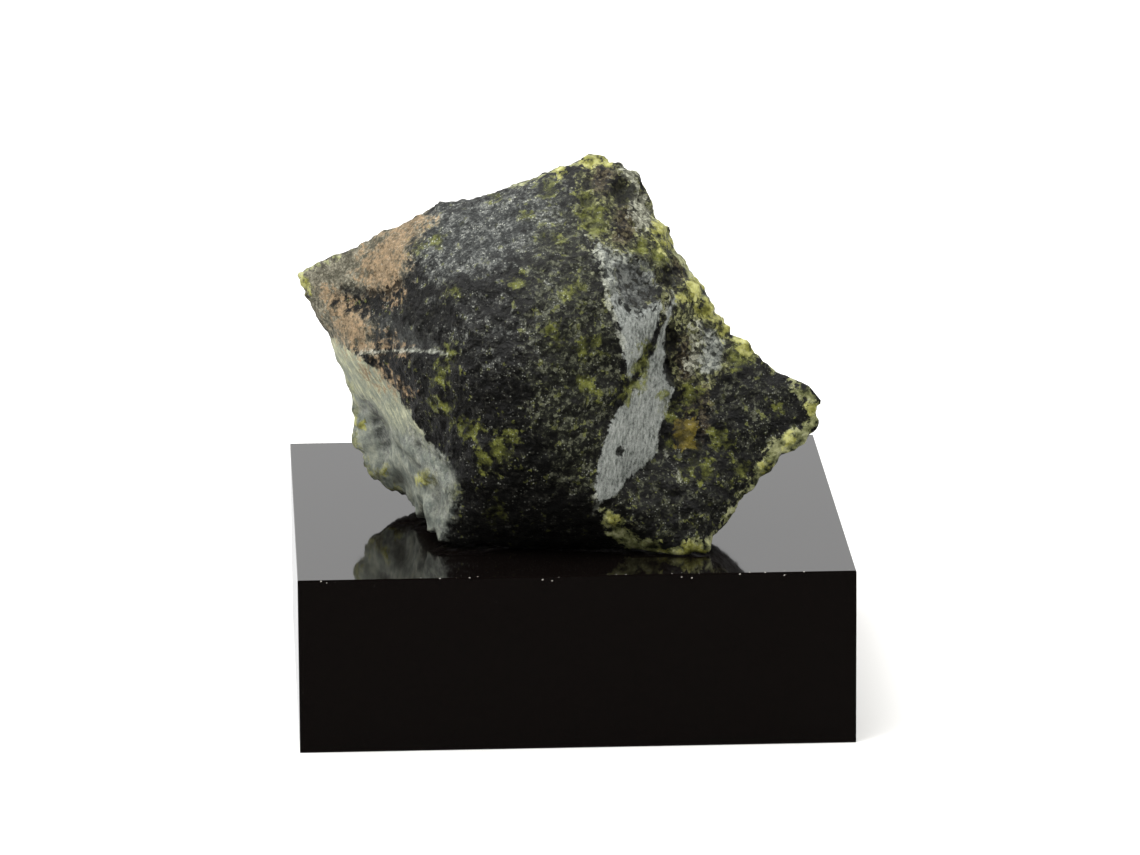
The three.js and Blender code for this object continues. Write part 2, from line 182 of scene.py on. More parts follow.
BROWN_HOLLOWS = (
    ((2.5, 12.1), (3.3, 12.2), (3.6, 11.4), (3.5, 10.4), (2.9, 10.0), (2.4, 10.6)),
    ((5.7, 9.7), (6.3, 9.7), (6.7, 8.8), (6.5, 8.2), (6.0, 8.3), (5.6, 9.0)),
    ((5.9, 4.9), (6.6, 5.1), (6.8, 4.2), (6.7, 2.8), (6.1, 2.6), (5.8, 4.0)),
    ((6.9, 0.9), (7.6, 0.9), (7.7, 0.0), (7.4, -0.9), (7.0, -0.6)),
    ((6.2, 2.2), (7.4, 2.3), (7.6, 1.4), (7.2, 0.5), (6.4, 0.7), (6.1, 1.5)),
    ((1.4, 14.4), (2.3, 14.4), (2.7, 13.8), (2.3, 13.5), (1.9, 12.8), (1.3, 13.0), (1.1, 13.8)),
)
# A recessed scoop below the stain's step, darker in part as painted shade
STREAKED_SCOOP = (
    (-11.4, 6.2), (-9.8, 6.2), (-8.2, 5.4), (-7.4, 4.4), (-9.2, 4.3), (-11.2, 4.3),
)
OLIVE_GROUND = (
    (-2.6, 12.8), (0.8, 12.6), (1.3, 10.2), (2.4, 6.4), (2.7, 3.0), (1.9, 0.0), (1.2, -3.4),
    (-0.6, -3.0), (-1.6, 0.2), (-2.0, 4.0), (-2.4, 8.4),
)
RIGHT_ROCK = (
    (6.2, 2.0), (9.2, 3.3), (12.2, 1.8), (11.8, -0.2), (9.8, -2.8), (7.8, -5.6), (7.0, -6.4),
    (3.9, -5.6), (2.4, -4.6), (3.9, -2.9), (5.3, -0.7),
)
# Lighter bluish ground under the skyline: partly its own colour, partly painted sheen where the
# face tilts up to the light
BRIGHT_GROUND = (
    (-8.4, 11.8), (-6.0, 12.6), (-2.6, 13.4), (-0.8, 13.8), (-0.6, 12.2), (-1.4, 10.6),
    (-3.0, 9.4), (-5.0, 8.5), (-7.4, 8.4), (-8.8, 9.6),
)
BRIGHT_SLOPE = (
    (-8.0, 9.2), (-5.5, 9.5), (-2.2, 9.2), (-1.2, 7.1), (-2.1, 4.7), (-4.4, 4.2), (-6.2, 5.5),
    (-7.1, 7.5),
)
RIND_BANDS = (
    (
        (12.3, 2.0), (13.1, 2.4), (14.0, 1.4), (13.7, 0.1), (12.9, -1.2), (11.8, -1.6),
        (11.1, -2.5), (10.5, -3.4), (9.7, -3.2), (10.3, -2.2), (11.0, -1.5), (11.6, -0.6),
        (12.5, -0.2), (13.3, 0.4), (13.4, 1.3), (12.9, 1.6),
    ),
    (
        (1.8, -4.5), (2.5, -4.7), (3.1, -5.5), (3.9, -6.1), (4.9, -6.3), (5.9, -6.5),
        (6.9, -6.3), (7.7, -6.2), (7.8, -7.4), (6.1, -7.4), (4.7, -7.2), (3.4, -6.9),
        (2.4, -6.1), (1.8, -5.2),
    ),
)
# Runs of rind along the edges and skylines: the rind's own yellow-green, which also stands in for a
# painted glow of light through its thin edges
RIND_EDGE = ((10.3, -3.0), (9.7, -3.8), (9.1, -4.8), (8.5, -5.6), (7.8, -6.3))
LEFT_SKYLINE = ((-15.0, 8.6), (-13.0, 9.5), (-12.2, 9.9))
LEFT_FRINGE = (
    (-12.9, 3.4), (-12.4, 2.4), (-12.0, 1.4), (-11.9, 0.3), (-11.9, -0.7), (-11.6, -1.7),
    (-11.0, -2.8), (-10.2, -3.5), (-9.6, -3.6),
)
PEAK_SKYLINE = ((-3.0, 13.6), (-0.8, 14.4), (1.2, 15.1), (2.4, 14.8))
SHOULDER_SKYLINE = (
    (4.8, 11.5), (5.9, 9.9), (6.8, 8.3), (7.8, 6.8), (8.8, 5.3),
)
GREEN_SEAM = ((5.4, 1.7), (5.7, 1.0), (5.6, 0.1), (5.4, -0.9))
TIP_SKYLINE = ((8.8, 5.3), (10.1, 4.4), (11.5, 3.1), (13.0, 2.3))
# Pale lines: veins, and on the crest and the ledge's lip a painted highlight where the edges catch
# the light
CREST_VEIN = (
    (0.8, 10.6), (1.2, 10.0), (1.7, 9.3), (1.8, 8.3), (2.0, 7.4), (2.3, 6.4), (2.7, 5.4),
    (3.0, 4.4),
)
LEDGE_VEIN = ((-11.6, 4.1), (-10.4, 4.2), (-9.0, 4.3), (-7.4, 4.2), (-6.9, 4.05))
CURVED_VEIN = ((5.2, -1.2), (5.5, -1.9), (5.9, -2.3), (6.1, -2.9))
UPPER_VEIN = ((5.8, 8.3), (5.6, 7.2), (5.2, 6.2))
FOOT_VEIN = ((1.4, -3.6), (1.5, -4.2), (1.3, -4.8))
# The hollow in the upper facet: a dent, darker than the facet round it in part as painted shade
UPPER_HOLLOW = (
    (2.6, 9.0), (3.2, 9.2), (3.9, 9.2), (4.4, 8.6), (4.8, 7.9), (4.7, 7.3), (4.3, 6.8),
    (3.9, 6.6), (3.3, 6.7), (2.9, 7.1), (2.7, 7.7), (2.5, 8.5),
)
# Painted shadow along the lower rim of the upper hollow
HOLLOW_RIM = ((4.9, 7.6), (4.4, 6.8), (3.9, 6.35), (3.2, 6.45), (2.8, 6.9))
# Painted shade in dark hollows of the shoulder
DARK_HOLLOWS = (
    ((2.3, 13.5), (2.8, 13.7), (3.3, 13.4), (3.5, 12.8), (3.3, 12.4), (2.8, 12.2), (2.4, 12.6)),
    ((5.1, 8.8), (5.6, 9.0), (6.0, 8.7), (6.0, 8.0), (5.5, 7.8), (5.1, 8.2)),
    ((5.3, 5.4), (5.8, 5.5), (6.0, 4.8), (5.9, 4.1), (5.5, 4.0), (5.4, 4.6)),
    ((5.2, 3.6), (5.5, 3.7), (5.7, 3.1), (5.6, 2.5), (5.3, 2.7)),
)
# Painted shadow under the step below the iron stain, and in a crack lower down
STAIN_STEP = ((-12.7, 7.7), (-11.2, 7.5), (-10.2, 7.4), (-9.3, 8.2))
LOWER_CRACK = ((7.1, -0.6), (7.2, -1.3), (6.9, -1.9))

# Round patches painted on the same plane, each across, up and radius
GREEN_PATCHES = (
    (-5.9, 0.1, 0.4), (-5.4, -0.2, 0.4), (-3.9, -1.4, 0.6), (-4.5, -2.0, 0.45),
    (-3.9, -0.7, 0.35), (-4.8, -1.5, 0.3), (-3.4, -0.8, 0.4), (-7.1, 2.7, 0.3),
    (-7.0, 3.5, 0.35), (-6.7, 4.2, 0.3), (-6.9, 1.2, 0.4), (-7.5, 1.2, 0.3), (-2.9, 8.0, 0.4),
    (-1.1, 5.3, 0.4), (-0.6, 4.8, 0.3), (-6.5, 7.6, 0.3), (-7.4, 10.4, 0.3), (-8.4, 10.0, 0.3),
    (-1.2, 13.2, 0.5), (-0.8, 10.4, 0.3), (1.3, 11.6, 0.8), (0.9, 12.6, 0.5), (1.1, 4.6, 0.6),
    (0.7, 2.5, 0.45), (1.2, 1.9, 0.3), (8.3, -0.5, 0.5), (8.7, -1.0, 0.4), (7.6, -2.4, 0.5),
    (9.5, -2.4, 0.4), (11.5, 1.0, 0.3), (9.3, 3.9, 0.7), (-4.1, -4.8, 0.4), (-6.5, -3.6, 0.3),
    (6.6, 1.7, 0.6), (3.9, 3.4, 0.45), (4.3, 4.4, 0.35), (3.4, 2.2, 0.45), (2.9, 1.6, 0.3),
    (-2.5, 11.8, 0.3), (-4.1, 12.9, 0.3), (-1.4, 10.6, 0.3), (5.0, 9.6, 0.7), (4.0, 9.9, 0.5),
    (0.2, 7.4, 0.4), (5.9, 1.2, 0.3), (6.9, -1.1, 0.3), (6.9, 1.3, 0.3), (7.7, -1.9, 0.3),
    (6.4, -2.4, 0.3),
)
# Clear yellow lumps: raised, with their own colour and a painted glow of light through them
BRIGHT_LUMPS = (
    (1.2, 14.9, 0.5), (2.1, 14.9, 0.4), (-0.4, 14.2, 0.3), (5.0, 10.9, 0.5), (5.3, 10.2, 0.3),
    (6.9, 7.7, 0.6), (7.6, 6.6, 0.5), (8.2, 5.9, 0.45), (8.6, 5.4, 0.35), (9.7, 4.5, 0.4),
    (6.1, 7.3, 0.3), (-14.8, 7.9, 0.35), (-14.4, 7.4, 0.2), (13.4, 1.0, 0.3), (12.2, -0.8, 0.3),
    (10.9, -2.3, 0.35), (-8.0, -2.8, 0.45), (-11.6, 0.2, 0.3), (-10.4, -2.4, 0.3),
    (-10.0, -3.5, 0.25), (6.6, -6.8, 0.4), (5.2, -6.7, 0.25), (2.4, -5.1, 0.3),
    (7.3, -6.8, 0.25),
)
# Painted shade in small pits
DARK_PITS = (
    (2.8, -1.4, 0.2), (5.8, -3.7, 0.2), (0.9, 13.6, 0.3), (6.2, 10.3, 0.2), (7.6, 5.6, 0.2),
)
# Painted shade in dark holes among the lobes
DARK_BLOTCHES = (
    (-10.5, -0.4, 0.5), (-10.8, 0.3, 0.3), (-10.3, -1.0, 0.35), (-9.4, -3.9, 0.2),
    (-11.4, 1.0, 0.25), (-8.5, -1.0, 0.25), (-8.3, -2.2, 0.2),
)

# Each kind of ground is as deep at a spot as the deepest of its marks there. Its marks are closed
# outlines, faint outlines that count no deeper than the limit beside them, lines with half
# their width, and round patches
OUTLINES = {
    "facet": (BLADE_FACET, UPPER_FACET),
    "shoulder_facet": SHOULDER_FACETS,
    "fibres": (FIBROUS_FACE,),
    "lobes": (LOBES,),
    "weathered": (WEATHERED_CORNER,),
    "stain": IRON_STAINS,
    "amber": (AMBER_PATCH,),
    "crust": (ROUGH_SHOULDER,),
    "pale": PALE_CRUSTS,
    "brown": BROWN_HOLLOWS,
    "streaks": (STREAKED_SCOOP,),
    "olive": (OLIVE_GROUND,),
    "haze": (BRIGHT_GROUND,),
    "rind": RIND_BANDS,
    "hollow": (UPPER_HOLLOW,),
    "pit": DARK_HOLLOWS,
}
FAINT_OUTLINES = {
    "haze": ((BRIGHT_SLOPE, -0.85),),
    "olive": ((RIGHT_ROCK, -0.3),),
    "blotch": ((LOWER_BAND, 0.0),),
}
LINES = {
    "rind": (
        (RIND_EDGE, 0.16), (LEFT_FRINGE, 0.22), (LEFT_SKYLINE, 0.05), (PEAK_SKYLINE, 0.15),
        (SHOULDER_SKYLINE, 0.2), (TIP_SKYLINE, 0.05),
    ),
    "vein": (
        (CREST_VEIN, 0.08), (LEDGE_VEIN, 0.08), (CURVED_VEIN, 0.02), (UPPER_VEIN, 0.06),
        (FOOT_VEIN, 0.04),
    ),
    "patch": ((GREEN_SEAM, 0.25),),
    "crack": ((STAIN_STEP, 0.06), (LOWER_CRACK, 0.08), (HOLLOW_RIM, 0.1)),
    "blotch": ((LOBE_CREASE, 0.1),),
}
PATCHES = {
    "patch": GREEN_PATCHES,
    "lump": BRIGHT_LUMPS,
    "pit": DARK_PITS,
    "blotch": DARK_BLOTCHES,
}

# Depths that the mesh carries run from far outside a kind of ground to well inside it
OUTSIDE_MM = -2.0
INSIDE_MM = 1.0

# Relief of painted grounds: how far each stands proud or sinks, in millimetres, and the depths
# between which it does so
RAISED = (
    ("lump", 0.18, -0.1, 0.5),
    ("pit", -0.25, -0.2, 0.4),
    ("patch", -0.08, 0.0, 0.3),
    ("hollow", -0.25, -0.1, 0.3),
    ("lobes", 0.3, -0.1, 0.4),
    ("blotch", -0.2, -0.1, 0.3),
)

# Flat cleavage breaks on the hidden side: a point on each, in millimetres above the block, and
# the way it faces. Their grey reaches a little below the plane.
GREY_BREAKS = (
    ((-6.0, 6.9, 8.0), (-0.33, 0.93, 0.14)),
    ((3.4, 3.6, 13.2), (0.5, 0.62, 0.6)),
)
BREAK_REACH_MM = 0.35

# The stone's colours as sRGB hex, from dark over middle to light, kind by kind
FINISHES = {
    "rock": ("fresh break", "#070705", "#0e0d0a", "#2b2b25"),
    # The bluish ground under the skyline is partly a painted sheen
    "haze": ("bluish bloom under the skyline", "#1d1f1d", "#3d403e", "#8a8c86"),
    "olive": ("greenish ground beside the crest", "#12120c", "#25271b", "#5e604d"),
    "facet": ("grey cleavage facets", "#454843", "#7e827d", "#a0a39d"),
    # Darker than the facets: these colours paint the hollow, the scoop and the shade blotches, in
    # part as painted shade
    "hollow": ("hollow in the upper facet", "#33332d", "#5c5f5d", "#8f928b"),
    "fibre": ("fibrous left face", "#757b70", "#92957f", "#bdbd9d"),
    "lobe": ("lower left lobes", "#5f655f", "#858a80", "#a1a493"),
    "weathered": ("weathered left corner", "#4a483a", "#6e6a5b", "#a09c88"),
    "stain": ("iron stain", "#5c4a33", "#83725a", "#a58a69"),
    "green": ("yellow-green grains", "#191a0a", "#43461a", "#737733"),
    # The rind's light yellow-green is partly a painted glow of light through its thin edges
    "rind": ("weathered rind", "#2a2d14", "#70734a", "#aaab7e"),
    # The clear lumps are painted lighter, as a glow of light through them
    "glow": ("clear yellow lumps", "#565620", "#87863b", "#c2c178"),
    "crust": ("crust of the rough shoulder", "#12110a", "#42432a", "#8a8b60"),
    "brown": ("brown hollows", "#0d0907", "#3a3124", "#5e5642"),
    "pale": ("grey-white crust", "#585849", "#8b8b7b", "#bcbdac"),
    "amber": ("amber patch", "#3a3312", "#5a4f19", "#7a6c2e"),
    # Pale veins, and painted highlights on the crest and the ledge's lip
    "vein": ("pale veins and rubbed edges", "#6f7163", "#9fa193", "#c0c2b4"),
}
TONES = {"dark": "Shadowed parts", "mid": "Body", "light": "Lit parts"}
# Where the three colours lie between the darkest grain and the lightest, on the fresh break and
# on the grounds that lie over it
ROCK_STOPS = (0.25, 0.6, 1.0)
GROUND_STOPS = (0.15, 0.5, 0.9)
DIOPSIDE_IOR = 1.68
ACRYLIC_IOR = 1.49


def linear(hex_colour):
    """An sRGB colour such as #8a9194 as the linear red, green, blue and alpha that nodes take."""
    channels = np.array([int(hex_colour[i : i + 2], 16) for i in (1, 3, 5)]) / 255
    low = channels / 12.92
    high = ((channels + 0.055) / 1.055) ** 2.4
    return (*np.where(channels <= 0.04045, low, high).tolist(), 1.0)


def colour(name, description, hex_colour):
    """A colour property whose default is given as sRGB hex."""
    return bpy.props.FloatVectorProperty(
        name=name,
        description=description,
        subtype="COLOR",
        size=4,
        min=0.0,
        max=1.0,
        default=linear(hex_colour),
    )


def measure(name, description, default, **kind):
    """A property that holds one number. Its kind is a subtype, a unit or limits."""
    return bpy.props.FloatProperty(name=name, description=description, default=default, **kind)


def length(name, description, millimetres):
    """A length property whose default is given in millimetres."""
    return measure(name, description, millimetres * MM, subtype="DISTANCE", unit="LENGTH")


def angle(name, description, degrees):
    """An angle property whose default is given in degrees."""
    return measure(name, description, math.radians(degrees), subtype="ANGLE", unit="ROTATION")


def point(name, description, millimetres):
    """A property for a point whose default is given in millimetres."""
    return bpy.props.FloatVectorProperty(
        name=name,
        description=description,
        subtype="XYZ",
        unit="LENGTH",
        default=[value * MM for value in millimetres],
    )


class StoneSettings(bpy.types.PropertyGroup):
    """Sizes and colours of the rock."""

    mesh_steps: bpy.props.IntProperty(
        name="Mesh steps",
        description="Quads along each side of the six grids that wrap the stone",
        default=128,
        min=8,
        max=128,
    )
    front_lean: measure(
        "Front lean", "How far the mesh is crowded towards the front", 0.3, min=0.0, max=0.6
    )
    lump_height: length("Lump height", "Height of the lumps of the broken skin", 0.12)
    lump_spacing: length("Lump spacing", "Width of the lumps of the broken skin", 0.9)
    grain_height: length("Grain height", "Height of single mineral grains", 0.04)
    grain_spacing: length("Grain spacing", "Width of single mineral grains", 0.42)
    crust_height: length("Crust height", "Height of the knobs on the rind and shoulder", 0.3)
    crust_spacing: length("Crust spacing", "Width of the knobs on the rind and shoulder", 0.75)
    ridge_height: length("Ridge height", "Height of the ridges along the fibres", 0.03)
    ridge_spacing: length("Ridge spacing", "Width of the ridges along the fibres", 0.6)
    chip_size: length("Chip size", "Width of the flat grains that the break is made of", 0.22)
    speck_size: length("Speck size", "Room that each glinting speck has", 0.11)
    # Pale specks are partly pale grains and partly painted glints
    pale_speck: colour("Pale speck", "Glinting specks in the fresh break", "#b4b6aa")


# Three colours a finish: rock_dark, rock_mid, rock_light and so on
for finish, (ground, *hexes) in FINISHES.items():
    for (tone, parts), hex_colour in zip(TONES.items(), hexes):
        StoneSettings.__annotations__[f"{finish}_{tone}"] = colour(
            f"{finish}, {tone}".capitalize(), f"{parts} of the {ground}", hex_colour
        )


class BlockSettings(bpy.types.PropertyGroup):
    """Finish of the acrylic block."""

    acrylic: colour("Acrylic", "Body colour of the black acrylic", "#0b0807")
    dust: colour("Dust", "Colour of dust on the block", "#a8a49c")
    roughness: measure("Roughness", "Roughness of the polished faces", 0.035, min=0.0)
    dust_spacing: length("Dust spacing", "Room that each fleck of dust has", 0.5)


class StageSettings(bpy.types.PropertyGroup):
    """The floor, the light and the camera."""

    camera_azimuth: angle("Camera azimuth", "How far it stands round from the front", -2.6684)
    camera_elevation: angle("Camera elevation", "How far the camera looks down", 14.1113)
    camera_roll: angle("Camera roll", "How far it is tilted about its line of sight", -0.335)
    camera_target: point("Camera target", "Middle of the view", (0.3408, 0.0, 14.0296))
    camera_distance: length("Camera distance", "From the target to the camera", 434.03)
    lens: measure(
        "Lens", "Focal length in millimetres", 247.85, subtype="DISTANCE_CAMERA", unit="CAMERA"
    )
    sensor: measure(
        "Sensor", "Width in millimetres", 36.0, subtype="DISTANCE_CAMERA", unit="CAMERA"
    )
    floor_side: length("Floor side", "Side of the square floor", 2400.0)
    floor: colour("Floor", "Colour of the paper floor", "#f4f3f0")
    backdrop_strength: measure("Backdrop", "Light from behind and beside", 0.98, min=0.0)
    overhead_strength: measure("Overhead", "Light from above", 1.5, min=0.0)
    camera_side_strength: measure("Camera side", "Light from the camera's side", 0.16, min=0.0)
    softbox_place: point("Softbox place", "Middle of the soft light", (-220.0, -120.0, 420.0))
    softbox_side: length("Softbox side", "Side of the soft light", 300.0)
    softbox_power: measure("Softbox power", "Power of the soft light", 1.4, unit="POWER")


def unit(vectors):
    """The same directions at length one."""
    return vectors / np.linalg.norm(vectors, axis=-1, keepdims=True)


def smooth_step(values, low, high):
    """Rises from 0 to 1 between low and high as 3t^2 - 2t^3."""
    t = np.clip((values - low) / (high - low), 0, 1)
    return t * t * (3 - 2 * t)


def wrapping_grids(steps, lean):
    """Unit directions over a ball and the quads that join them, as six grids on a cube.

    A point of the cube has whole-number coordinates from -steps to steps. Its direction is the
    tangent of 45 degrees times each coordinate over steps, scaled to length one, which spaces
    the points evenly. Then lean times the front direction is added and the length made one
    again, which crowds the points towards the front.
    """
    line = np.arange(0, steps + 1) * 2 - steps
    u, v = np.meshgrid(line, line, indexing="ij")
    corners, quads = [], []
    index = np.arange((steps + 1) ** 2).reshape(steps + 1, steps + 1)
    ring = [index[:-1, :-1], index[1:, :-1], index[1:, 1:], index[:-1, 1:]]
    for axis in range(3):
        for sign in (-1, 1):
            side = np.empty((u.size, 3), int)
            side[:, axis] = sign * steps
            side[:, (axis + 1) % 3] = u.ravel()
            side[:, (axis + 2) % 3] = v.ravel()
            quads.append(np.stack(ring[::sign], -1).reshape(-1, 4) + len(corners) * u.size)
            corners.append(side)
    lattice, place = np.unique(np.concatenate(corners), axis=0, return_inverse=True)
    directions = unit(np.tan(lattice / steps * math.pi / 4))
    return unit(directions + [0, -lean, 0]), place.reshape(-1)[np.concatenate(quads)]


def reach_from_heart(directions, triangles):
    """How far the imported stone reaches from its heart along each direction.

    Seen from the heart, a triangle a, b, c holds the direction d when d is on the inner side of
    the planes through the heart and each of its sides. The reach is then a . n / d . n, where n
    is the triangle's normal.
    """
    a, b, c = triangles.transpose(1, 0, 2).astype(np.float32)
    sides = unit(np.stack([np.cross(a, b), np.cross(b, c), np.cross(c, a)]))
    normals = np.cross(b - a, c - a)
    height = np.einsum("ij,ij->i", a, normals)
    reach = []
    for some in np.array_split(directions.astype(np.float32), BATCHES):
        inner = (some @ sides.reshape(-1, 3).T).reshape(len(some), 3, -1).min(1)
        found = inner.argmax(1)
        reach.append(height[found] / np.einsum("ij,ij->i", some, normals[found]))
    return np.concatenate(reach).astype(float)


def neighbour_mean(values, quads):
    """The mean of each point's neighbours along the sides of the quads."""
    ends = np.concatenate([quads, np.roll(quads, -1, axis=1)]).ravel()
    others = np.concatenate([np.roll(quads, -1, axis=1), quads]).ravel()
    total = np.bincount(ends, weights=values[others], minlength=len(values))
    return total / np.bincount(ends, minlength=len(values))


def skin_normals(points, quads):
    """Each point's outward direction, the sum of the cross products of its quads' diagonals."""
    a, b, c, d = (points[quads[:, side]] for side in range(4))
    facing = np.cross(c - a, d - b)
    total = np.stack(
        [
            np.bincount(quads.ravel(), weights=np.repeat(facing[:, axis], 4), minlength=len(points))
            for axis in range(3)
        ],
        -1,
    )
    return unit(total)


def scatter(cells, seed):
    """A fixed number from 0 to 1 for each whole-number cell, from mixing its coordinates' bits."""
    x, y, z = (cells[..., axis].astype(np.int64).astype(np.uint32) for axis in range(3))
    mixed = x * np.uint32(73856093) ^ y * np.uint32(19349663) ^ z * np.uint32(83492791)
    mixed = (mixed ^ np.uint32(seed * 40503 + 977)) * np.uint32(2246822519)
    mixed = (mixed ^ (mixed >> np.uint32(15))) * np.uint32(3266489917)
    return (mixed ^ (mixed >> np.uint32(13))).astype(float) / 4294967295.0


def lumps(points, spacing, seed):
    """Smooth noise from about -1 to 1: gradient noise with the fade 6t^5 - 15t^4 + 10t^3."""
    scaled = points / spacing
    cell = np.floor(scaled)
    inside = scaled - cell
    fade = inside**3 * (inside * (inside * 6 - 15) + 10)
    total = np.zeros(len(points))
    for corner in np.ndindex(2, 2, 2):
        there = cell + corner
        slope = np.stack([scatter(there, seed + axis) for axis in range(3)], -1) * 2 - 1
        weight = np.where(corner, fade, 1 - fade).prod(-1)
        total += weight * ((inside - corner) * slope).sum(-1)
    return total * NOISE_GAIN


def grains(points, spacing, seed):
    """Distances to the nearest and next nearest of one scattered point a cell, and its number."""
    scaled = points / spacing
    cell = np.floor(scaled)
    nearest = np.full(len(points), 9.0)
    second = nearest.copy()
    number = np.zeros(len(points))
    for step in np.ndindex(3, 3, 3):
        there = cell + np.array(step) - 1
        centre = there + np.stack([scatter(there, seed + axis) for axis in range(3)], -1)
        distance = np.linalg.norm(scaled - centre, axis=-1)
        closer = distance < nearest
        second = np.where(closer, nearest, np.minimum(second, distance))
        number = np.where(closer, scatter(there, seed + 3), number)
        nearest = np.minimum(nearest, distance)
    return nearest, second, number


def camera_place(stage):
    """The camera's place in millimetres, and its right, up and backward directions.

    Backward is (sin a cos e, -cos a cos e, sin e) for azimuth a and elevation e, right is
    (cos a, sin a, 0), up is their cross product, and the roll turns right and up together.
    """
    a, e, r = stage.camera_azimuth, stage.camera_elevation, stage.camera_roll
    back = np.array([math.sin(a) * math.cos(e), -math.cos(a) * math.cos(e), math.sin(e)])
    level = np.array([math.cos(a), math.sin(a), 0.0])
    upright = np.cross(back, level)
    right = math.cos(r) * level + math.sin(r) * upright
    up = -math.sin(r) * level + math.cos(r) * upright
    place = (np.array(stage.camera_target) + back * stage.camera_distance) / MM
    return place, right, up, back


def on_view_plane(points, stage):
    """Across and up of each point, as the camera sees it, on the upright plane at the target."""
    place, right, up, back = camera_place(stage)
    sight = points - place
    depth = -(sight @ back) / (stage.camera_distance / MM)
    return np.stack([sight @ right / depth, sight @ up / depth], -1)


def distance_to_run(spots, corners, closed=False):
    """Distance from each spot to the nearest part of a run of straight lines."""
    starts = np.array(corners)
    ends = np.roll(starts, -1, axis=0)
    if not closed:
        starts, ends = starts[:-1], ends[:-1]
    nearest = np.full(len(spots), np.inf)
    for start, end in zip(starts, ends):
        along = end - start
        share = np.clip((spots - start) @ along / (along @ along), 0, 1)
        gap = spots - start - share[:, None] * along
        nearest = np.minimum(nearest, np.hypot(gap[:, 0], gap[:, 1]))
    return nearest


def depth_in_outline(spots, corners):
    """Distance to a closed outline, positive inside it, where a line to the right crosses the
    outline an odd number of times."""
    inside = np.zeros(len(spots), bool)
    x, y = spots[:, 0], spots[:, 1]
    for (x0, y0), (x1, y1) in zip(corners, corners[1:] + corners[:1]):
        if y0 != y1:
            crosses = (y0 > y) != (y1 > y)
            inside ^= crosses & (x < x0 + (y - y0) * (x1 - x0) / (y1 - y0))
    distance = distance_to_run(spots, corners, closed=True)
    return np.where(inside, distance, -distance)


def painted_depth(spots, ground):
    """Depth of each spot in a painted ground: the largest that any of its marks gives it.

    A line gives half its width less the distance to it, and a round patch its radius less the
    distance to its middle.
    """
    depth = np.full(len(spots), -np.inf)
    for corners in OUTLINES.get(ground, ()):
        depth = np.maximum(depth, depth_in_outline(spots, corners))
    for corners, limit in FAINT_OUTLINES.get(ground, ()):
        depth = np.maximum(depth, np.minimum(depth_in_outline(spots, corners), limit))
    for corners, half_width in LINES.get(ground, ()):
        depth = np.maximum(depth, half_width - distance_to_run(spots, corners))
    for across, up, radius in PATCHES.get(ground, ()):
        distance = np.hypot(spots[:, 0] - across, spots[:, 1] - up)
        depth = np.maximum(depth, radius - distance)
    return depth


def depth_in_breaks(points):
    """Depth in the grey of the hidden breaks: its reach plus the height above the nearest plane."""
    depth = np.full(len(points), -np.inf)
    for through, facing in GREY_BREAKS:
        height = (points - np.array(through)) @ unit(np.array(facing))
        depth = np.maximum(depth, BREAK_REACH_MM + height)
    return depth


def painted_zones(points, normals, stage):
    """Signed distances in millimetres, positive inside each kind of ground on the stone's skin.

    On the skin that faces the camera they come from the painted marks, and on the rest from
    slow noise, so that the hidden sides carry the same grounds. The rind and its lumps wrap
    further round the skyline than the rest.
    """
    spots = on_view_plane(points, stage)
    above_block = points - [0, 0, block_high.z / MM]
    facing = (normals * unit(camera_place(stage)[0] - points)).sum(-1)
    front = smooth_step(facing, *FRONT_COSINES)
    wrap = smooth_step(facing, *WRAP_COSINES)

    def blended(seen, hidden, weight):
        return seen * weight + hidden * (1 - weight)

    seen = {ground: painted_depth(spots, ground) for ground in {**OUTLINES, **LINES, **PATCHES}}
    seen["rind"] = np.maximum(seen["rind"], seen["lump"])
    seen["lobes"] = np.minimum(seen["lobes"], seen["fibres"] + 0.2)
    # Painted shade in pits, hollows and cracks
    seen["pit"] = np.maximum(seen["pit"] + 0.2 * lumps(points, 0.7, 44), seen.pop("crack"))

    # On the hidden sides each ground is noise about a level of its own. Fibres keep to faces
    # that look left, stain to the left end and crust to the right end.
    slow = lumps(points, 3.2, 40)
    to_left = -normals[:, 0] - 0.62
    hidden = {
        "facet": depth_in_breaks(above_block),
        "fibres": 1.2 * to_left + 0.4 * slow + 1.5 * np.minimum(normals[:, 2], 0),
        "stain": 0.8 * lumps(points, 3.6, 70) - 0.04 * (points[:, 0] + 16),
        "crust": 0.9 * lumps(points, 3.0, 80) + 0.05 * points[:, 0] - 0.45,
        "olive": slow - 0.2,
        "haze": -slow,
        "patch": 0.6 * lumps(points, 1.7, 60) + 0.2 * lumps(points, 0.7, 64) - 0.34,
    }
    rind_hidden = 0.9 * lumps(points, 4.4, 50) + 0.4 * lumps(points, 1.6, 54) - 0.42
    zones = {
        ground: blended(depth, hidden.get(ground, OUTSIDE_MM), front)
        for ground, depth in seen.items()
    }
    zones["lump"] = blended(seen["lump"], OUTSIDE_MM, wrap)
    zones["rind"] = np.maximum(
        blended(seen["rind"], OUTSIDE_MM, wrap), blended(OUTSIDE_MM, rind_hidden, front)
    )

    # Painted shade: faces that look down are darkened, most of all near the block, but not where
    # the rind catches light
    near_block = 1 - smooth_step(above_block[:, 2], *DARK_FOOT_MM)
    lit_rind = smooth_step(seen["rind"], -0.4, 0.1) * smooth_step(normals[:, 2], -0.8, -0.5)
    low_down = 0.15 * near_block - 0.8 * lit_rind - 0.55
    zones["underside"] = low_down - normals[:, 2] + 0.1 * slow
    return {ground: np.clip(depth, OUTSIDE_MM, INSIDE_MM) for ground, depth in zones.items()}


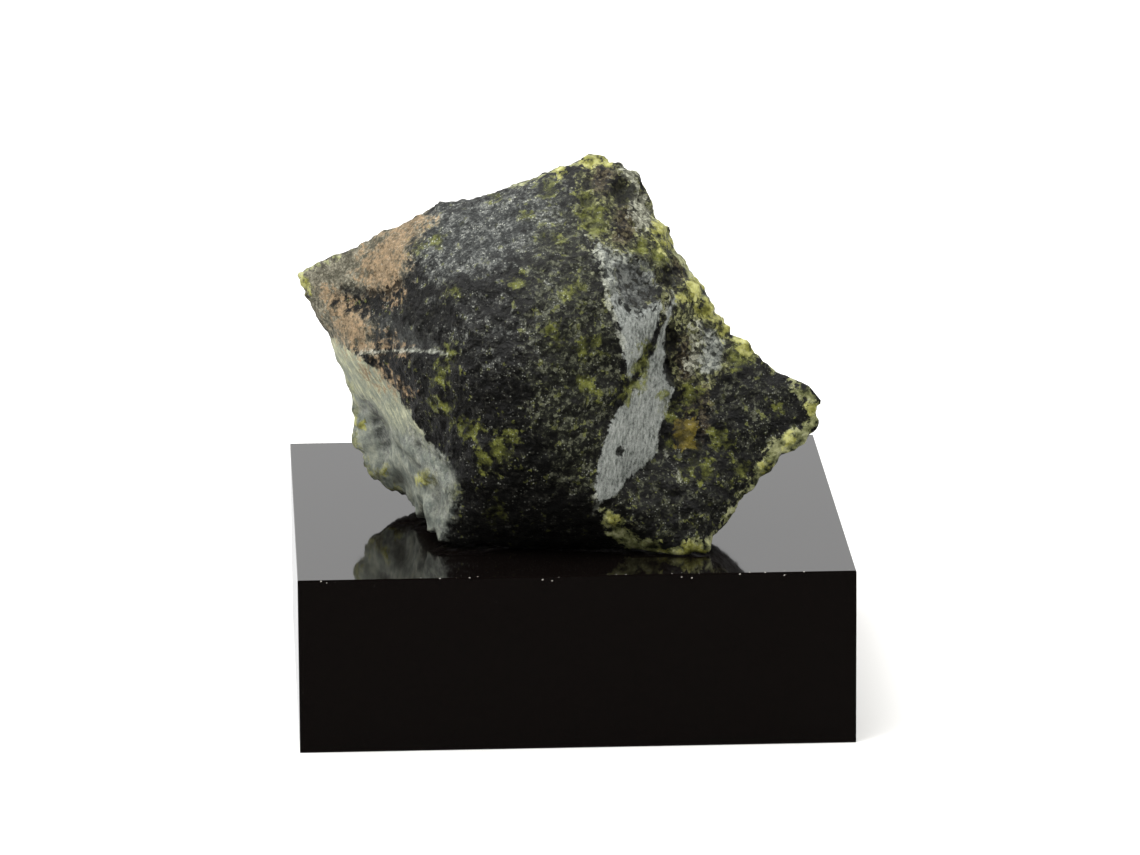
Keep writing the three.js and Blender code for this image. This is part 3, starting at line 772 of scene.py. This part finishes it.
def skin_relief(points, zones, stone):
    """Height in millimetres added along the skin's normal, from what kind of ground it is.

    The fresh break is lumps plus flat-topped grains with grooves between them. Crust and rind
    have rounded knobs, the grey facets are nearly flat, the fibrous face is ridged along its
    fibres, and pits and cracks sink in.
    """
    spacing = stone.lump_spacing / MM
    broken = lumps(points, spacing, 10) + 0.5 * lumps(points, spacing / 2.3, 14)
    broken *= stone.lump_height / MM
    nearest, second, number = grains(points, stone.grain_spacing / MM, 20)
    flat_tops = smooth_step(second - nearest, 0, 0.3) * (0.4 + number) - 0.5
    broken += stone.grain_height / MM * flat_tops
    nearest, _, number = grains(points, stone.crust_spacing / MM, 30)
    domes = np.sqrt(np.clip(1 - nearest**2, 0, 1)) * (0.5 + number) - 0.8
    knobs = stone.crust_height / MM * domes + 0.1 * lumps(points, 0.5, 32)
    along = unit(np.array(FIBRE_RUN))
    stretched = points - FIBRE_STRETCH * (points @ along)[:, None] * along
    ridges = stone.ridge_height / MM * lumps(stretched, stone.ridge_spacing / MM, 34)

    facet = smooth_step(zones["facet"], -0.1, 0.25)
    fibres = smooth_step(zones["fibres"], -0.2, 0.3)
    knobbly = smooth_step(np.maximum(zones["crust"], zones["rind"]), -0.2, 0.3) * (1 - facet)
    height = broken * (1 - FACET_LOSS * facet) * (1 - FIBRE_LOSS * fibres) + ridges * fibres
    height += 0.7 * knobs * knobbly
    # The lobes swell and dip, and the painted shade blotches sink only into the fibres
    pattern = {"lobes": lumps(points, 1.4, 92), "blotch": fibres}
    for ground, rise, low, high in RAISED:
        height += rise * smooth_step(zones[ground], low, high) * pattern.get(ground, 1)
    return height * smooth_step(points[:, 2] - block_high.z / MM, *FOOT_MM)


def stone_skin(stone, stage):
    """Points, quads, zones and relief of the stone, in millimetres.

    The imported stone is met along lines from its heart. The seams between its flat triangles are
    eased by averaging each point's reach with its neighbours', but where the average would move
    a point by more than about 0.1 mm, which is at a keen edge, the point stays.
    """
    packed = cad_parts["diopside"].data
    packed.calc_loop_triangles()
    corners = np.empty(len(packed.vertices) * 3, np.float32)
    packed.vertices.foreach_get("co", corners)
    joined = np.empty(len(packed.loop_triangles) * 3, np.int32)
    packed.loop_triangles.foreach_get("vertices", joined)
    triangles = corners.reshape(-1, 3)[joined].reshape(-1, 3, 3) / MM - HEART_MM

    directions, quads = wrapping_grids(stone.mesh_steps, stone.front_lean)
    reach = reach_from_heart(directions, triangles)
    eased = reach
    for _ in range(EASING_ROUNDS):
        eased = 0.5 * eased + 0.5 * neighbour_mean(eased, quads)
    keen = smooth_step(np.abs(reach - eased), *KEEN_MM)
    reach = eased * (1 - keen) + reach * keen
    points = HEART_MM + directions * reach[:, None]
    normals = skin_normals(points, quads)
    zones = painted_zones(points, normals, stage)
    zones["relief"] = skin_relief(points, zones, stone)
    points = points + normals * zones["relief"][:, None]
    points = np.clip(points, np.array(stone_low) / MM, np.array(stone_high) / MM)
    return points, quads, zones


def add_node(tree, kind, values=(), out=0, stops=(), **settings):
    """Adds one node and returns its output named out.

    Settings are the node's own properties, values are its inputs, each a number, a colour or
    the output that feeds it, and stops are a ramp's places and colours. Inputs that share a
    name go by number. Math has 0, 1 and 2. MapRange has 0 for its value, 1 and 2 for the range
    that it comes from, and 3 and 4 for the range that it goes to. Mix has 0 for its share, and
    2 and 3 for two numbers or 6 and 7 for two colours.
    """
    node = tree.nodes.new("ShaderNode" + kind)
    for name, value in settings.items():
        setattr(node, name, value)
    for name, value in dict(values).items():
        if isinstance(value, bpy.types.NodeSocket):
            tree.links.new(value, node.inputs[name])
        else:
            node.inputs[name].default_value = value
    for number, (place, shade) in enumerate(stops):
        ramp = node.color_ramp.elements
        stop = ramp[number] if number < 2 else ramp.new(place)
        stop.position, stop.color = place, shade
    return node.outputs[out] if node.outputs else node


def new_material(name):
    """An empty node material, its tree, and the tree's object coordinates in millimetres."""
    material = bpy.data.materials.new(name)
    material.use_nodes = True
    tree = material.node_tree
    tree.nodes.clear()
    place = add_node(tree, "TexCoord", out="Object")
    in_mm = add_node(tree, "VectorMath", {0: place, "Scale": 1 / MM}, operation="SCALE")
    return material, tree, in_mm


def weighed(add, *terms, start=0.0):
    """The sum of a start and some outputs, each times its weight."""
    total = start
    for output, weight in terms:
        total = add("Math", {0: output, 1: weight, 2: total}, operation="MULTIPLY_ADD")
    return total


def chained(add, operation, *inputs):
    """Some inputs put through one sort of arithmetic, two at a time."""
    total = inputs[0]
    for other in inputs[1:]:
        total = add("Math", {0: total, 1: other}, operation=operation)
    return total


def share_of_ground(add, ragged, name, amount, softness, cover):
    """How much of a painted ground shows, up to its cover, from its depth in millimetres plus
    a ragged shift."""
    depth = add("Attribute", out="Fac", attribute_name=name)
    shifted = weighed(add, (ragged, amount), start=depth)
    return add(
        "MapRange",
        {0: shifted, 1: -softness, 2: softness, 4: cover},
        interpolation_type="SMOOTHSTEP",
    )


def shades(stone, finish, places):
    """A ramp's stops: the dark, middle and light colours of a finish at three tones."""
    return [(place, getattr(stone, f"{finish}_{tone}")) for place, tone in zip(places, TONES)]


def grain_patterns(add, in_mm, stone):
    """The patterns that the rock's grounds share, each a node's output.

    Grains lie in clusters. Chips are the flat grains that the break is made of, and each chip
    and each glinting speck has lots, which are fixed numbers from 0 to 1 drawn for it.
    """
    # Read through a warp, so that none has a straight side
    drift = add("TexNoise", {"Vector": in_mm, "Scale": 2.6, "Detail": 3.0}, out="Color")
    warped = add(
        "VectorMath", {0: drift, 1: (0.2, 0.2, 0.2), 2: in_mm}, operation="MULTIPLY_ADD"
    )
    grain_noise = {"Vector": warped, "Scale": 6.0, "Detail": 4.0, "Roughness": 0.75}
    cluster_noise = {"Vector": warped, "Scale": 1.5, "Detail": 6.0, "Roughness": 0.62}
    chip_cells = {"Vector": warped, "Scale": MM / stone.chip_size}
    chip = add("TexVoronoi", chip_cells, out="Color")
    chip_lots = add("SeparateColor", {0: chip}).node.outputs
    speck = add("TexVoronoi", {"Vector": in_mm, "Scale": MM / stone.speck_size}, out="Distance")
    return SimpleNamespace(
        warped=warped,
        grain=add("TexNoise", grain_noise, out="Fac"),
        cluster=add("TexNoise", cluster_noise, out="Fac"),
        slow=add("TexNoise", {"Vector": in_mm, "Scale": 0.38, "Detail": 5.0}, out="Fac"),
        chip=chip,
        chip_middle=chip.node.outputs["Position"],
        chip_edge=add("TexVoronoi", chip_cells, out="Distance", feature="DISTANCE_TO_EDGE"),
        tone_lot=chip_lots[0],
        green_lot=chip_lots[1],
        ragged_lot=chip_lots[2],
        speck=speck,
        speck_lot=add("SeparateColor", {0: speck.node.outputs["Color"]}),
    )


def grain_tones(add, in_mm, pattern):
    """How light each grain is, from 0 to 1, with half of the skin on either side of 0.5.

    The fibres of the left face and the fine hatching of the blade facet are noise drawn out
    eight and six times along the way that they run.
    """
    along_fibres = add(
        "Mapping",
        {
            "Vector": in_mm,
            "Rotation": (0.0, math.radians(48), math.radians(-42)),
            "Scale": (8.0, 1.0, 1.0),
        },
        vector_type="TEXTURE",
    )
    along_blade = add(
        "Mapping",
        {"Vector": in_mm, "Rotation": (0.0, math.radians(-74), 0.0), "Scale": (6.0, 1.0, 1.0)},
        vector_type="TEXTURE",
    )
    fibre_noise = {"Vector": along_fibres, "Scale": 4.0, "Detail": 5.0, "Roughness": 0.75}
    hatch_noise = {"Vector": along_blade, "Scale": 7.0, "Detail": 4.0, "Roughness": 0.65}
    grain, cluster = pattern.grain, pattern.cluster
    rough = weighed(add, (pattern.tone_lot, 0.7), (grain, 1.6), (cluster, 1.4))
    soft = weighed(add, (grain, 1.0), (cluster, 1.0))
    fibre = weighed(add, (cluster, 0.6), start=add("TexNoise", fibre_noise, out="Fac"))
    hatch = weighed(
        add, (grain, 0.8), (pattern.slow, 0.5), start=add("TexNoise", hatch_noise, out="Fac")
    )
    return SimpleNamespace(
        grain=add("MapRange", {0: rough, 1: 1.39, 2: 2.42}),
        soft=add("MapRange", {0: soft, 1: 0.7, 2: 1.3}),
        cloud=add("MapRange", {0: cluster, 1: 0.32, 2: 0.68}),
        fibre=add("MapRange", {0: fibre, 1: 0.6, 2: 1.0}),
        hatch=add("MapRange", {0: hatch, 1: 0.85, 2: 1.4}),
    )


def chip_relief(add, pattern, lively):
    """Height in millimetres of the skin that is too fine for the mesh.

    Each chip is a small flat that leans its own way, 0.1 mm high at most, with clusters 0.1 mm
    proud and grains 0.05 mm proud over it.
    """
    lean = add("VectorMath", {0: pattern.chip, 1: (0.5, 0.5, 0.5)}, operation="SUBTRACT")
    reach = add("VectorMath", {0: pattern.warped, 1: pattern.chip_middle}, operation="SUBTRACT")
    flat = add("VectorMath", {0: lean, 1: reach}, out="Value", operation="DOT_PRODUCT")
    inner = add("MapRange", {0: pattern.chip_edge, 1: 0.0, 2: 0.3})
    height = chained(add, "MULTIPLY", inner, 0.7, lively, flat)
    return weighed(add, (pattern.cluster, 0.1), (pattern.grain, 0.05), start=height)


def diopside_rock_material(stone):
    """Chrome diopside rock, broken and unpolished.

    Massive granular pyroxene: a near-black ground of packed grains that glint one by one,
    yellow-green where a grain is thin or weathered, grey and silky on cleavage, and rusty
    where iron has stained it. Pale specks paint part of the glints. Colour and roughness change
    with each kind of ground.
    """
    material, tree, in_mm = new_material("broken_chrome_diopside_rock")
    add = partial(add_node, tree)
    pattern = grain_patterns(add, in_mm, stone)
    tone = grain_tones(add, in_mm, pattern)

    # How far each edge wanders, in millimetres, grain by grain
    ragged = weighed(add, (pattern.ragged_lot, 0.5), (pattern.cluster, 2.0), start=-1.25)

    # Single grains that are thin enough to show green, more of them beside the crest
    laid = partial(share_of_ground, add, ragged)
    olive = laid("olive", 2.0, 0.9, 0.9)
    haze = laid("haze", 2.0, 1.0, 0.8)
    odds = weighed(add, (pattern.cluster, 1.2), (olive, 0.12), start=pattern.green_lot)
    single = add("MapRange", {0: odds, 1: 1.58, 2: 1.62, 3: 0.0, 4: 0.5})

    # Each ground lies over the one before: how much of it shows (from its painted depth, how
    # ragged and how soft its edge is, and its cover), its roughness, how lively its relief is,
    # its tone, and its dark, middle and light colours
    grounds = (
        (olive, 0.5, 1.0, tone.grain, "olive"),
        (haze, 0.5, 1.0, tone.soft, "haze"),
        (single, 0.42, 1.0, tone.grain, "green"),
        (laid("streaks", 0.8, 0.4, 0.22), 0.5, 1.0, tone.fibre, "hollow"),
        (laid("weathered", 1.0, 0.4, 0.9), 0.7, 0.8, tone.soft, "weathered"),
        (laid("fibres", 0.3, 0.08, 1.0), 0.6, 0.5, tone.fibre, "fibre"),
        (laid("lobes", 0.7, 0.4, 0.9), 0.55, 0.3, tone.cloud, "lobe"),
        (laid("stain", 1.8, 0.5, 0.88), 0.85, 0.5, tone.soft, "stain"),
        (laid("crust", 1.0, 0.15, 1.0), 0.55, 1.2, tone.grain, "crust"),
        (laid("brown", 0.9, 0.3, 0.9), 0.5, 1.0, tone.grain, "brown"),
        (laid("pale", 1.0, 0.15, 0.75), 0.6, 1.2, tone.grain, "pale"),
        (laid("shoulder_facet", 0.9, 0.3, 0.8), 0.5, 0.8, tone.grain, "facet"),
        (laid("facet", 0.3, 0.08, 1.0), 0.42, 0.5, tone.hatch, "facet"),
        (laid("hollow", 0.9, 0.2, 1.0), 0.5, 0.7, tone.grain, "hollow"),
        (laid("patch", 1.1, 0.25, 0.85), 0.42, 0.8, tone.cloud, "green"),
        (laid("rind", 0.8, 0.12, 0.9), 0.36, 0.5, tone.cloud, "rind"),
        (laid("lump", 0.8, 0.15, 0.85), 0.3, 0.4, tone.cloud, "glow"),
        (laid("amber", 0.5, 0.1, 0.95), 0.3, 0.6, tone.cloud, "amber"),
        (laid("vein", 0.3, 0.08, 0.6), 0.5, 1.0, tone.grain, "vein"),
        (laid("blotch", 0.6, 0.25, 0.8), 0.6, 0.5, tone.soft, "hollow"),
    )
    ground = add("ValToRGB", {"Fac": tone.grain}, stops=shades(stone, "rock", ROCK_STOPS))
    rough = 0.5
    lively = 1.0
    for share, laid_rough, laid_lively, laid_tone, finish in grounds:
        shown = add("ValToRGB", {"Fac": laid_tone}, stops=shades(stone, finish, GROUND_STOPS))
        ground = add("Mix", {0: share, 6: ground, 7: shown}, out=2, data_type="RGBA")
        rough = add("Mix", {0: share, 2: rough, 3: laid_rough})
        lively = add("Mix", {0: share, 2: lively, 3: laid_lively})

    # Pale specks in loose swarms, more of them in the sheen under the skyline: pale grains in part,
    # and painted glints in part
    glint = weighed(add, (pattern.cluster, 1.5), start=pattern.speck_lot)
    glint = add("MapRange", {0: glint, 1: 1.58, 2: 1.82, 3: 0.0, 4: 0.38})
    in_haze = weighed(add, (haze, 2.2), start=1.0)
    dot = add("MapRange", {0: pattern.speck, 1: 0.3, 2: 0.45, 3: 1.0, 4: 0.0})
    glint = chained(add, "MULTIPLY", glint, in_haze, dot)
    ground = add("Mix", {0: glint, 6: ground, 7: stone.pale_speck}, out=2, data_type="RGBA")

    # Painted shade: pits, cracks, sunken hollows and faces that look down are darkened, and the
    # seams between grains are darker too
    under = laid("underside", 0.3, 0.2, 0.85)
    pits = laid("pit", 0.8, 0.12, 1.0)
    # Painted shade where the relief sinks
    sunk_shade = add("Attribute", out="Fac", attribute_name="relief")
    sunk_shade = add("MapRange", {0: sunk_shade, 1: -0.08, 2: -0.3, 3: 0.0, 4: 0.6})
    seam = add("MapRange", {0: pattern.chip_edge, 1: 0.0, 2: 0.08, 3: 0.45, 4: 0.0})
    seam = chained(add, "MULTIPLY", seam, lively)
    dark = chained(add, "MAXIMUM", pits, sunk_shade, seam, under)
    dark = chained(add, "MULTIPLY", dark, 0.9)
    ground = add("Mix", {0: dark, 6: ground, 7: stone.rock_dark}, out=2, data_type="RGBA")

    height = chip_relief(add, pattern, lively)
    normal = add("Bump", {"Height": height, "Distance": MM, "Strength": 0.7})
    skin = add(
        "BsdfPrincipled",
        {
            "Base Color": ground,
            "Roughness": rough,
            "Normal": normal,
            "IOR": DIOPSIDE_IOR,
            "Specular IOR Level": 0.12,
        },
    )
    add("OutputMaterial", {"Surface": skin})
    return material


def black_acrylic_material(block):
    """Black cast acrylic, polished on every face.

    It is black right through, with a mirror skin: near black face on, and grey where it
    mirrors the bright room at a low angle. Sparse dust flecks sit on it.
    """
    material, tree, in_mm = new_material("polished_black_cast_acrylic")
    add = partial(add_node, tree)

    # Distance in millimetres from the front arris of the top, along which dust gathers
    height = add("SeparateXYZ", {0: in_mm}, out="Z")
    depth = height.node.outputs["Y"]
    from_top = chained(add, "SUBTRACT", height, block_high.z / MM)
    from_top = add("Math", {0: from_top}, operation="ABSOLUTE")
    from_front = chained(add, "SUBTRACT", depth, block_low.y / MM)
    from_arris = chained(add, "ADD", from_top, from_front)
    near = add("MapRange", {0: from_arris, 1: 0.05, 2: 0.35, 3: 0.6, 4: 0.0})

    # The faces are unrolled onto one plane, so that each fleck lies flat on its face
    across = add(
        "VectorMath", {0: in_mm, 1: (1.0, 0.5, -0.5)}, out="Value", operation="DOT_PRODUCT"
    )
    down = add(
        "VectorMath", {0: in_mm, 1: (0.0, 1.0, 1.0)}, out="Value", operation="DOT_PRODUCT"
    )
    unrolled = add("CombineXYZ", {0: across, 1: down})
    fleck = add(
        "TexVoronoi",
        {"Vector": unrolled, "Scale": MM / block.dust_spacing},
        out="Distance",
        voronoi_dimensions="2D",
    )
    lot = add("SeparateColor", {0: fleck.node.outputs["Color"]})
    lot = chained(add, "ADD", lot, near)
    size = add("MapRange", {0: lot, 1: 0.97, 2: 1.15, 3: 0.0, 4: 0.09})
    dusty = chained(add, "LESS_THAN", fleck, size)
    body = add("Mix", {0: dusty, 6: block.acrylic, 7: block.dust}, out=2, data_type="RGBA")
    smear = add("TexNoise", {"Vector": in_mm, "Scale": 0.6, "Detail": 6.0}, out="Fac")
    rough = add(
        "MapRange", {0: smear, 1: 0.3, 2: 0.75, 3: block.roughness, 4: block.roughness * 2.2}
    )
    rough = weighed(add, (dusty, 0.5), start=rough)
    polished = add(
        "BsdfPrincipled",
        {
            "Base Color": body,
            "Roughness": rough,
            "IOR": ACRYLIC_IOR,
            "Specular Tint": (1.0, 0.99, 0.96, 1.0),
        },
    )

    # The arris is sanded, and too fine to catch the light
    sanded = add("BsdfDiffuse", {"Color": block.acrylic})
    edge = add("MapRange", {0: from_arris, 1: 0.05, 2: 0.08, 3: 1.0, 4: 0.0})
    edge = add("Math", {0: edge, 1: dusty}, operation="SUBTRACT", use_clamp=True)
    skin = add("MixShader", {0: edge, 1: polished, 2: sanded})
    add("OutputMaterial", {"Surface": skin})
    return material


def paper_material(stage):
    """Matt white paper, with a faint unevenness."""
    material, tree, in_mm = new_material("white_studio_paper")
    add = partial(add_node, tree)
    cloud = add("TexNoise", {"Vector": in_mm, "Scale": 0.009}, out="Fac")
    shade = add("MapRange", {0: cloud, 1: 0.3, 2: 0.7, 3: 0.97, 4: 1.0})
    tone = add("VectorMath", {0: stage.floor[:3], "Scale": shade}, operation="SCALE")
    skin = add("BsdfDiffuse", {"Color": tone})
    add("OutputMaterial", {"Surface": skin})
    return material


def paper_floor(stage):
    """A flat square of paper under the block."""
    half = stage.floor_side / 2
    corners = [(-half, -half, 0), (half, -half, 0), (half, half, 0), (-half, half, 0)]
    mesh = bpy.data.meshes.new("floor")
    mesh.from_pydata(corners, [], [(0, 1, 2, 3)])
    mesh.materials.append(paper_material(stage))
    floor = bpy.data.objects.new("paper_floor", mesh)
    # The block mirrors the darker side of the room, and not the lit floor
    floor.visible_glossy = False
    return floor


def studio_world(stage):
    """A white room that is bright behind, beside and above, and dim on the camera's side.

    The way to each part of the room has length one: north is how far it points to the back,
    and height how far it points up. The camera itself sees plain white.
    """
    world = bpy.data.worlds.new("studio")
    world.use_nodes = True
    tree = world.node_tree
    tree.nodes.clear()
    add = partial(add_node, tree)
    north = add("SeparateXYZ", {0: add("TexCoord", out="Generated")}, out="Y")
    height = north.node.outputs["Z"]
    dim, bright = stage.camera_side_strength, stage.backdrop_strength
    ring = add(
        "MapRange",
        {0: north, 1: -0.75, 2: 0.2, 3: dim, 4: bright},
        interpolation_type="SMOOTHSTEP",
    )
    overhead = add(
        "MapRange",
        {0: height, 1: 0.35, 2: 0.95, 3: 0.0, 4: stage.overhead_strength},
        interpolation_type="SMOOTHSTEP",
    )
    behind = add("MapRange", {0: north, 1: 0.1, 2: 0.4, 3: 0.3, 4: 1.0})
    above = add("MapRange", {0: height, 1: -0.02, 2: 0.02, 3: behind, 4: 1.0})
    room = chained(add, "MULTIPLY", chained(add, "ADD", ring, overhead), above)
    seen = add("LightPath", out="Is Camera Ray")
    strength = add("Mix", {0: seen, 2: room, 3: 1.0})
    sky = add("Background", {"Color": (1.0, 1.0, 1.0, 1.0), "Strength": strength})
    add("OutputWorld", {"Surface": sky})
    return world


def softbox(stage):
    """The soft lamp above and to the left, turned towards the block."""
    lamp = bpy.data.lights.new("softbox", "AREA")
    lamp.energy = stage.softbox_power
    lamp.size = stage.softbox_side
    piece = bpy.data.objects.new("softbox", lamp)
    piece.location = stage.softbox_place
    piece.rotation_euler = (-piece.location).to_track_quat("-Z", "Y").to_euler()
    return piece


def solved_camera(stage):
    """The camera, whose matrix has its right, up and backward directions and its place."""
    place, right, up, back = camera_place(stage)
    lens = bpy.data.cameras.new("camera")
    lens.lens = stage.lens
    lens.sensor_width = stage.sensor
    lens.clip_start = 10 * MM
    camera = bpy.data.objects.new("camera", lens)
    turned = np.eye(4)
    turned[:3] = np.stack([right, up, back, place * MM], -1)
    camera.matrix_world = Matrix(turned.tolist())
    return camera


class DIOPSIDE_OT_stone(bpy.types.Operator):
    """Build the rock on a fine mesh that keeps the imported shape"""

    bl_idname = "diopside.stone"
    bl_label = "Stone"

    def execute(self, context):
        stone, stage = context.scene.diopside_stone, context.scene.diopside_stage
        points, quads, zones = stone_skin(stone, stage)
        mesh = bpy.data.meshes.new("stone")
        mesh.from_pydata((points * MM).tolist(), [], quads.tolist())
        mesh.shade_smooth()
        for ground, depth in zones.items():
            painted = mesh.attributes.new(ground, "FLOAT", "POINT")
            painted.data.foreach_set("value", depth.astype(np.float32))
        mesh.materials.append(diopside_rock_material(stone))
        rock = bpy.data.objects.new("diopside_rock", mesh)
        context.scene.collection.objects.link(rock)
        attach(rock, "root")
        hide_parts("diopside")
        return {"FINISHED"}


class DIOPSIDE_OT_block(bpy.types.Operator):
    """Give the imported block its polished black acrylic"""

    bl_idname = "diopside.block"
    bl_label = "Block"

    def execute(self, context):
        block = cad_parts["display_block"]
        acrylic = black_acrylic_material(context.scene.diopside_block)
        for slot in block.material_slots:
            slot.link = "OBJECT"
            slot.material = acrylic
        return {"FINISHED"}


class DIOPSIDE_OT_stage(bpy.types.Operator):
    """Lay the paper floor and set the studio light and the camera"""

    bl_idname = "diopside.stage"
    bl_label = "Stage"

    def execute(self, context):
        scene, stage = context.scene, context.scene.diopside_stage
        floor = paper_floor(stage)
        camera = solved_camera(stage)
        for piece in (floor, softbox(stage), camera):
            scene.collection.objects.link(piece)
        scene.world = studio_world(stage)
        scene.camera = camera
        scene.view_settings.view_transform = "Standard"
        return {"FINISHED"}


class DIOPSIDE_PT_panel(bpy.types.Panel):
    """Lists the steps that build the piece"""

    bl_idname = "DIOPSIDE_PT_panel"
    bl_label = "Diopside"
    bl_space_type = "VIEW_3D"
    bl_region_type = "UI"
    bl_category = "Diopside"

    def draw(self, context):
        for step in (DIOPSIDE_OT_stone, DIOPSIDE_OT_block, DIOPSIDE_OT_stage):
            self.layout.operator(step.bl_idname)


CLASSES = (
    StoneSettings,
    BlockSettings,
    StageSettings,
    DIOPSIDE_OT_stone,
    DIOPSIDE_OT_block,
    DIOPSIDE_OT_stage,
    DIOPSIDE_PT_panel,
)


def register():
    for cls in CLASSES:
        bpy.utils.register_class(cls)
    bpy.types.Scene.diopside_stone = bpy.props.PointerProperty(type=StoneSettings)
    bpy.types.Scene.diopside_block = bpy.props.PointerProperty(type=BlockSettings)
    bpy.types.Scene.diopside_stage = bpy.props.PointerProperty(type=StageSettings)


def unregister():
    del bpy.types.Scene.diopside_stage
    del bpy.types.Scene.diopside_block
    del bpy.types.Scene.diopside_stone
    for cls in reversed(CLASSES):
        bpy.utils.unregister_class(cls)


def main():
    """Builds everything in order."""
    register()
    bpy.ops.diopside.stone()
    bpy.ops.diopside.block()
    bpy.ops.diopside.stage()


if __name__ == "__main__":
    main()
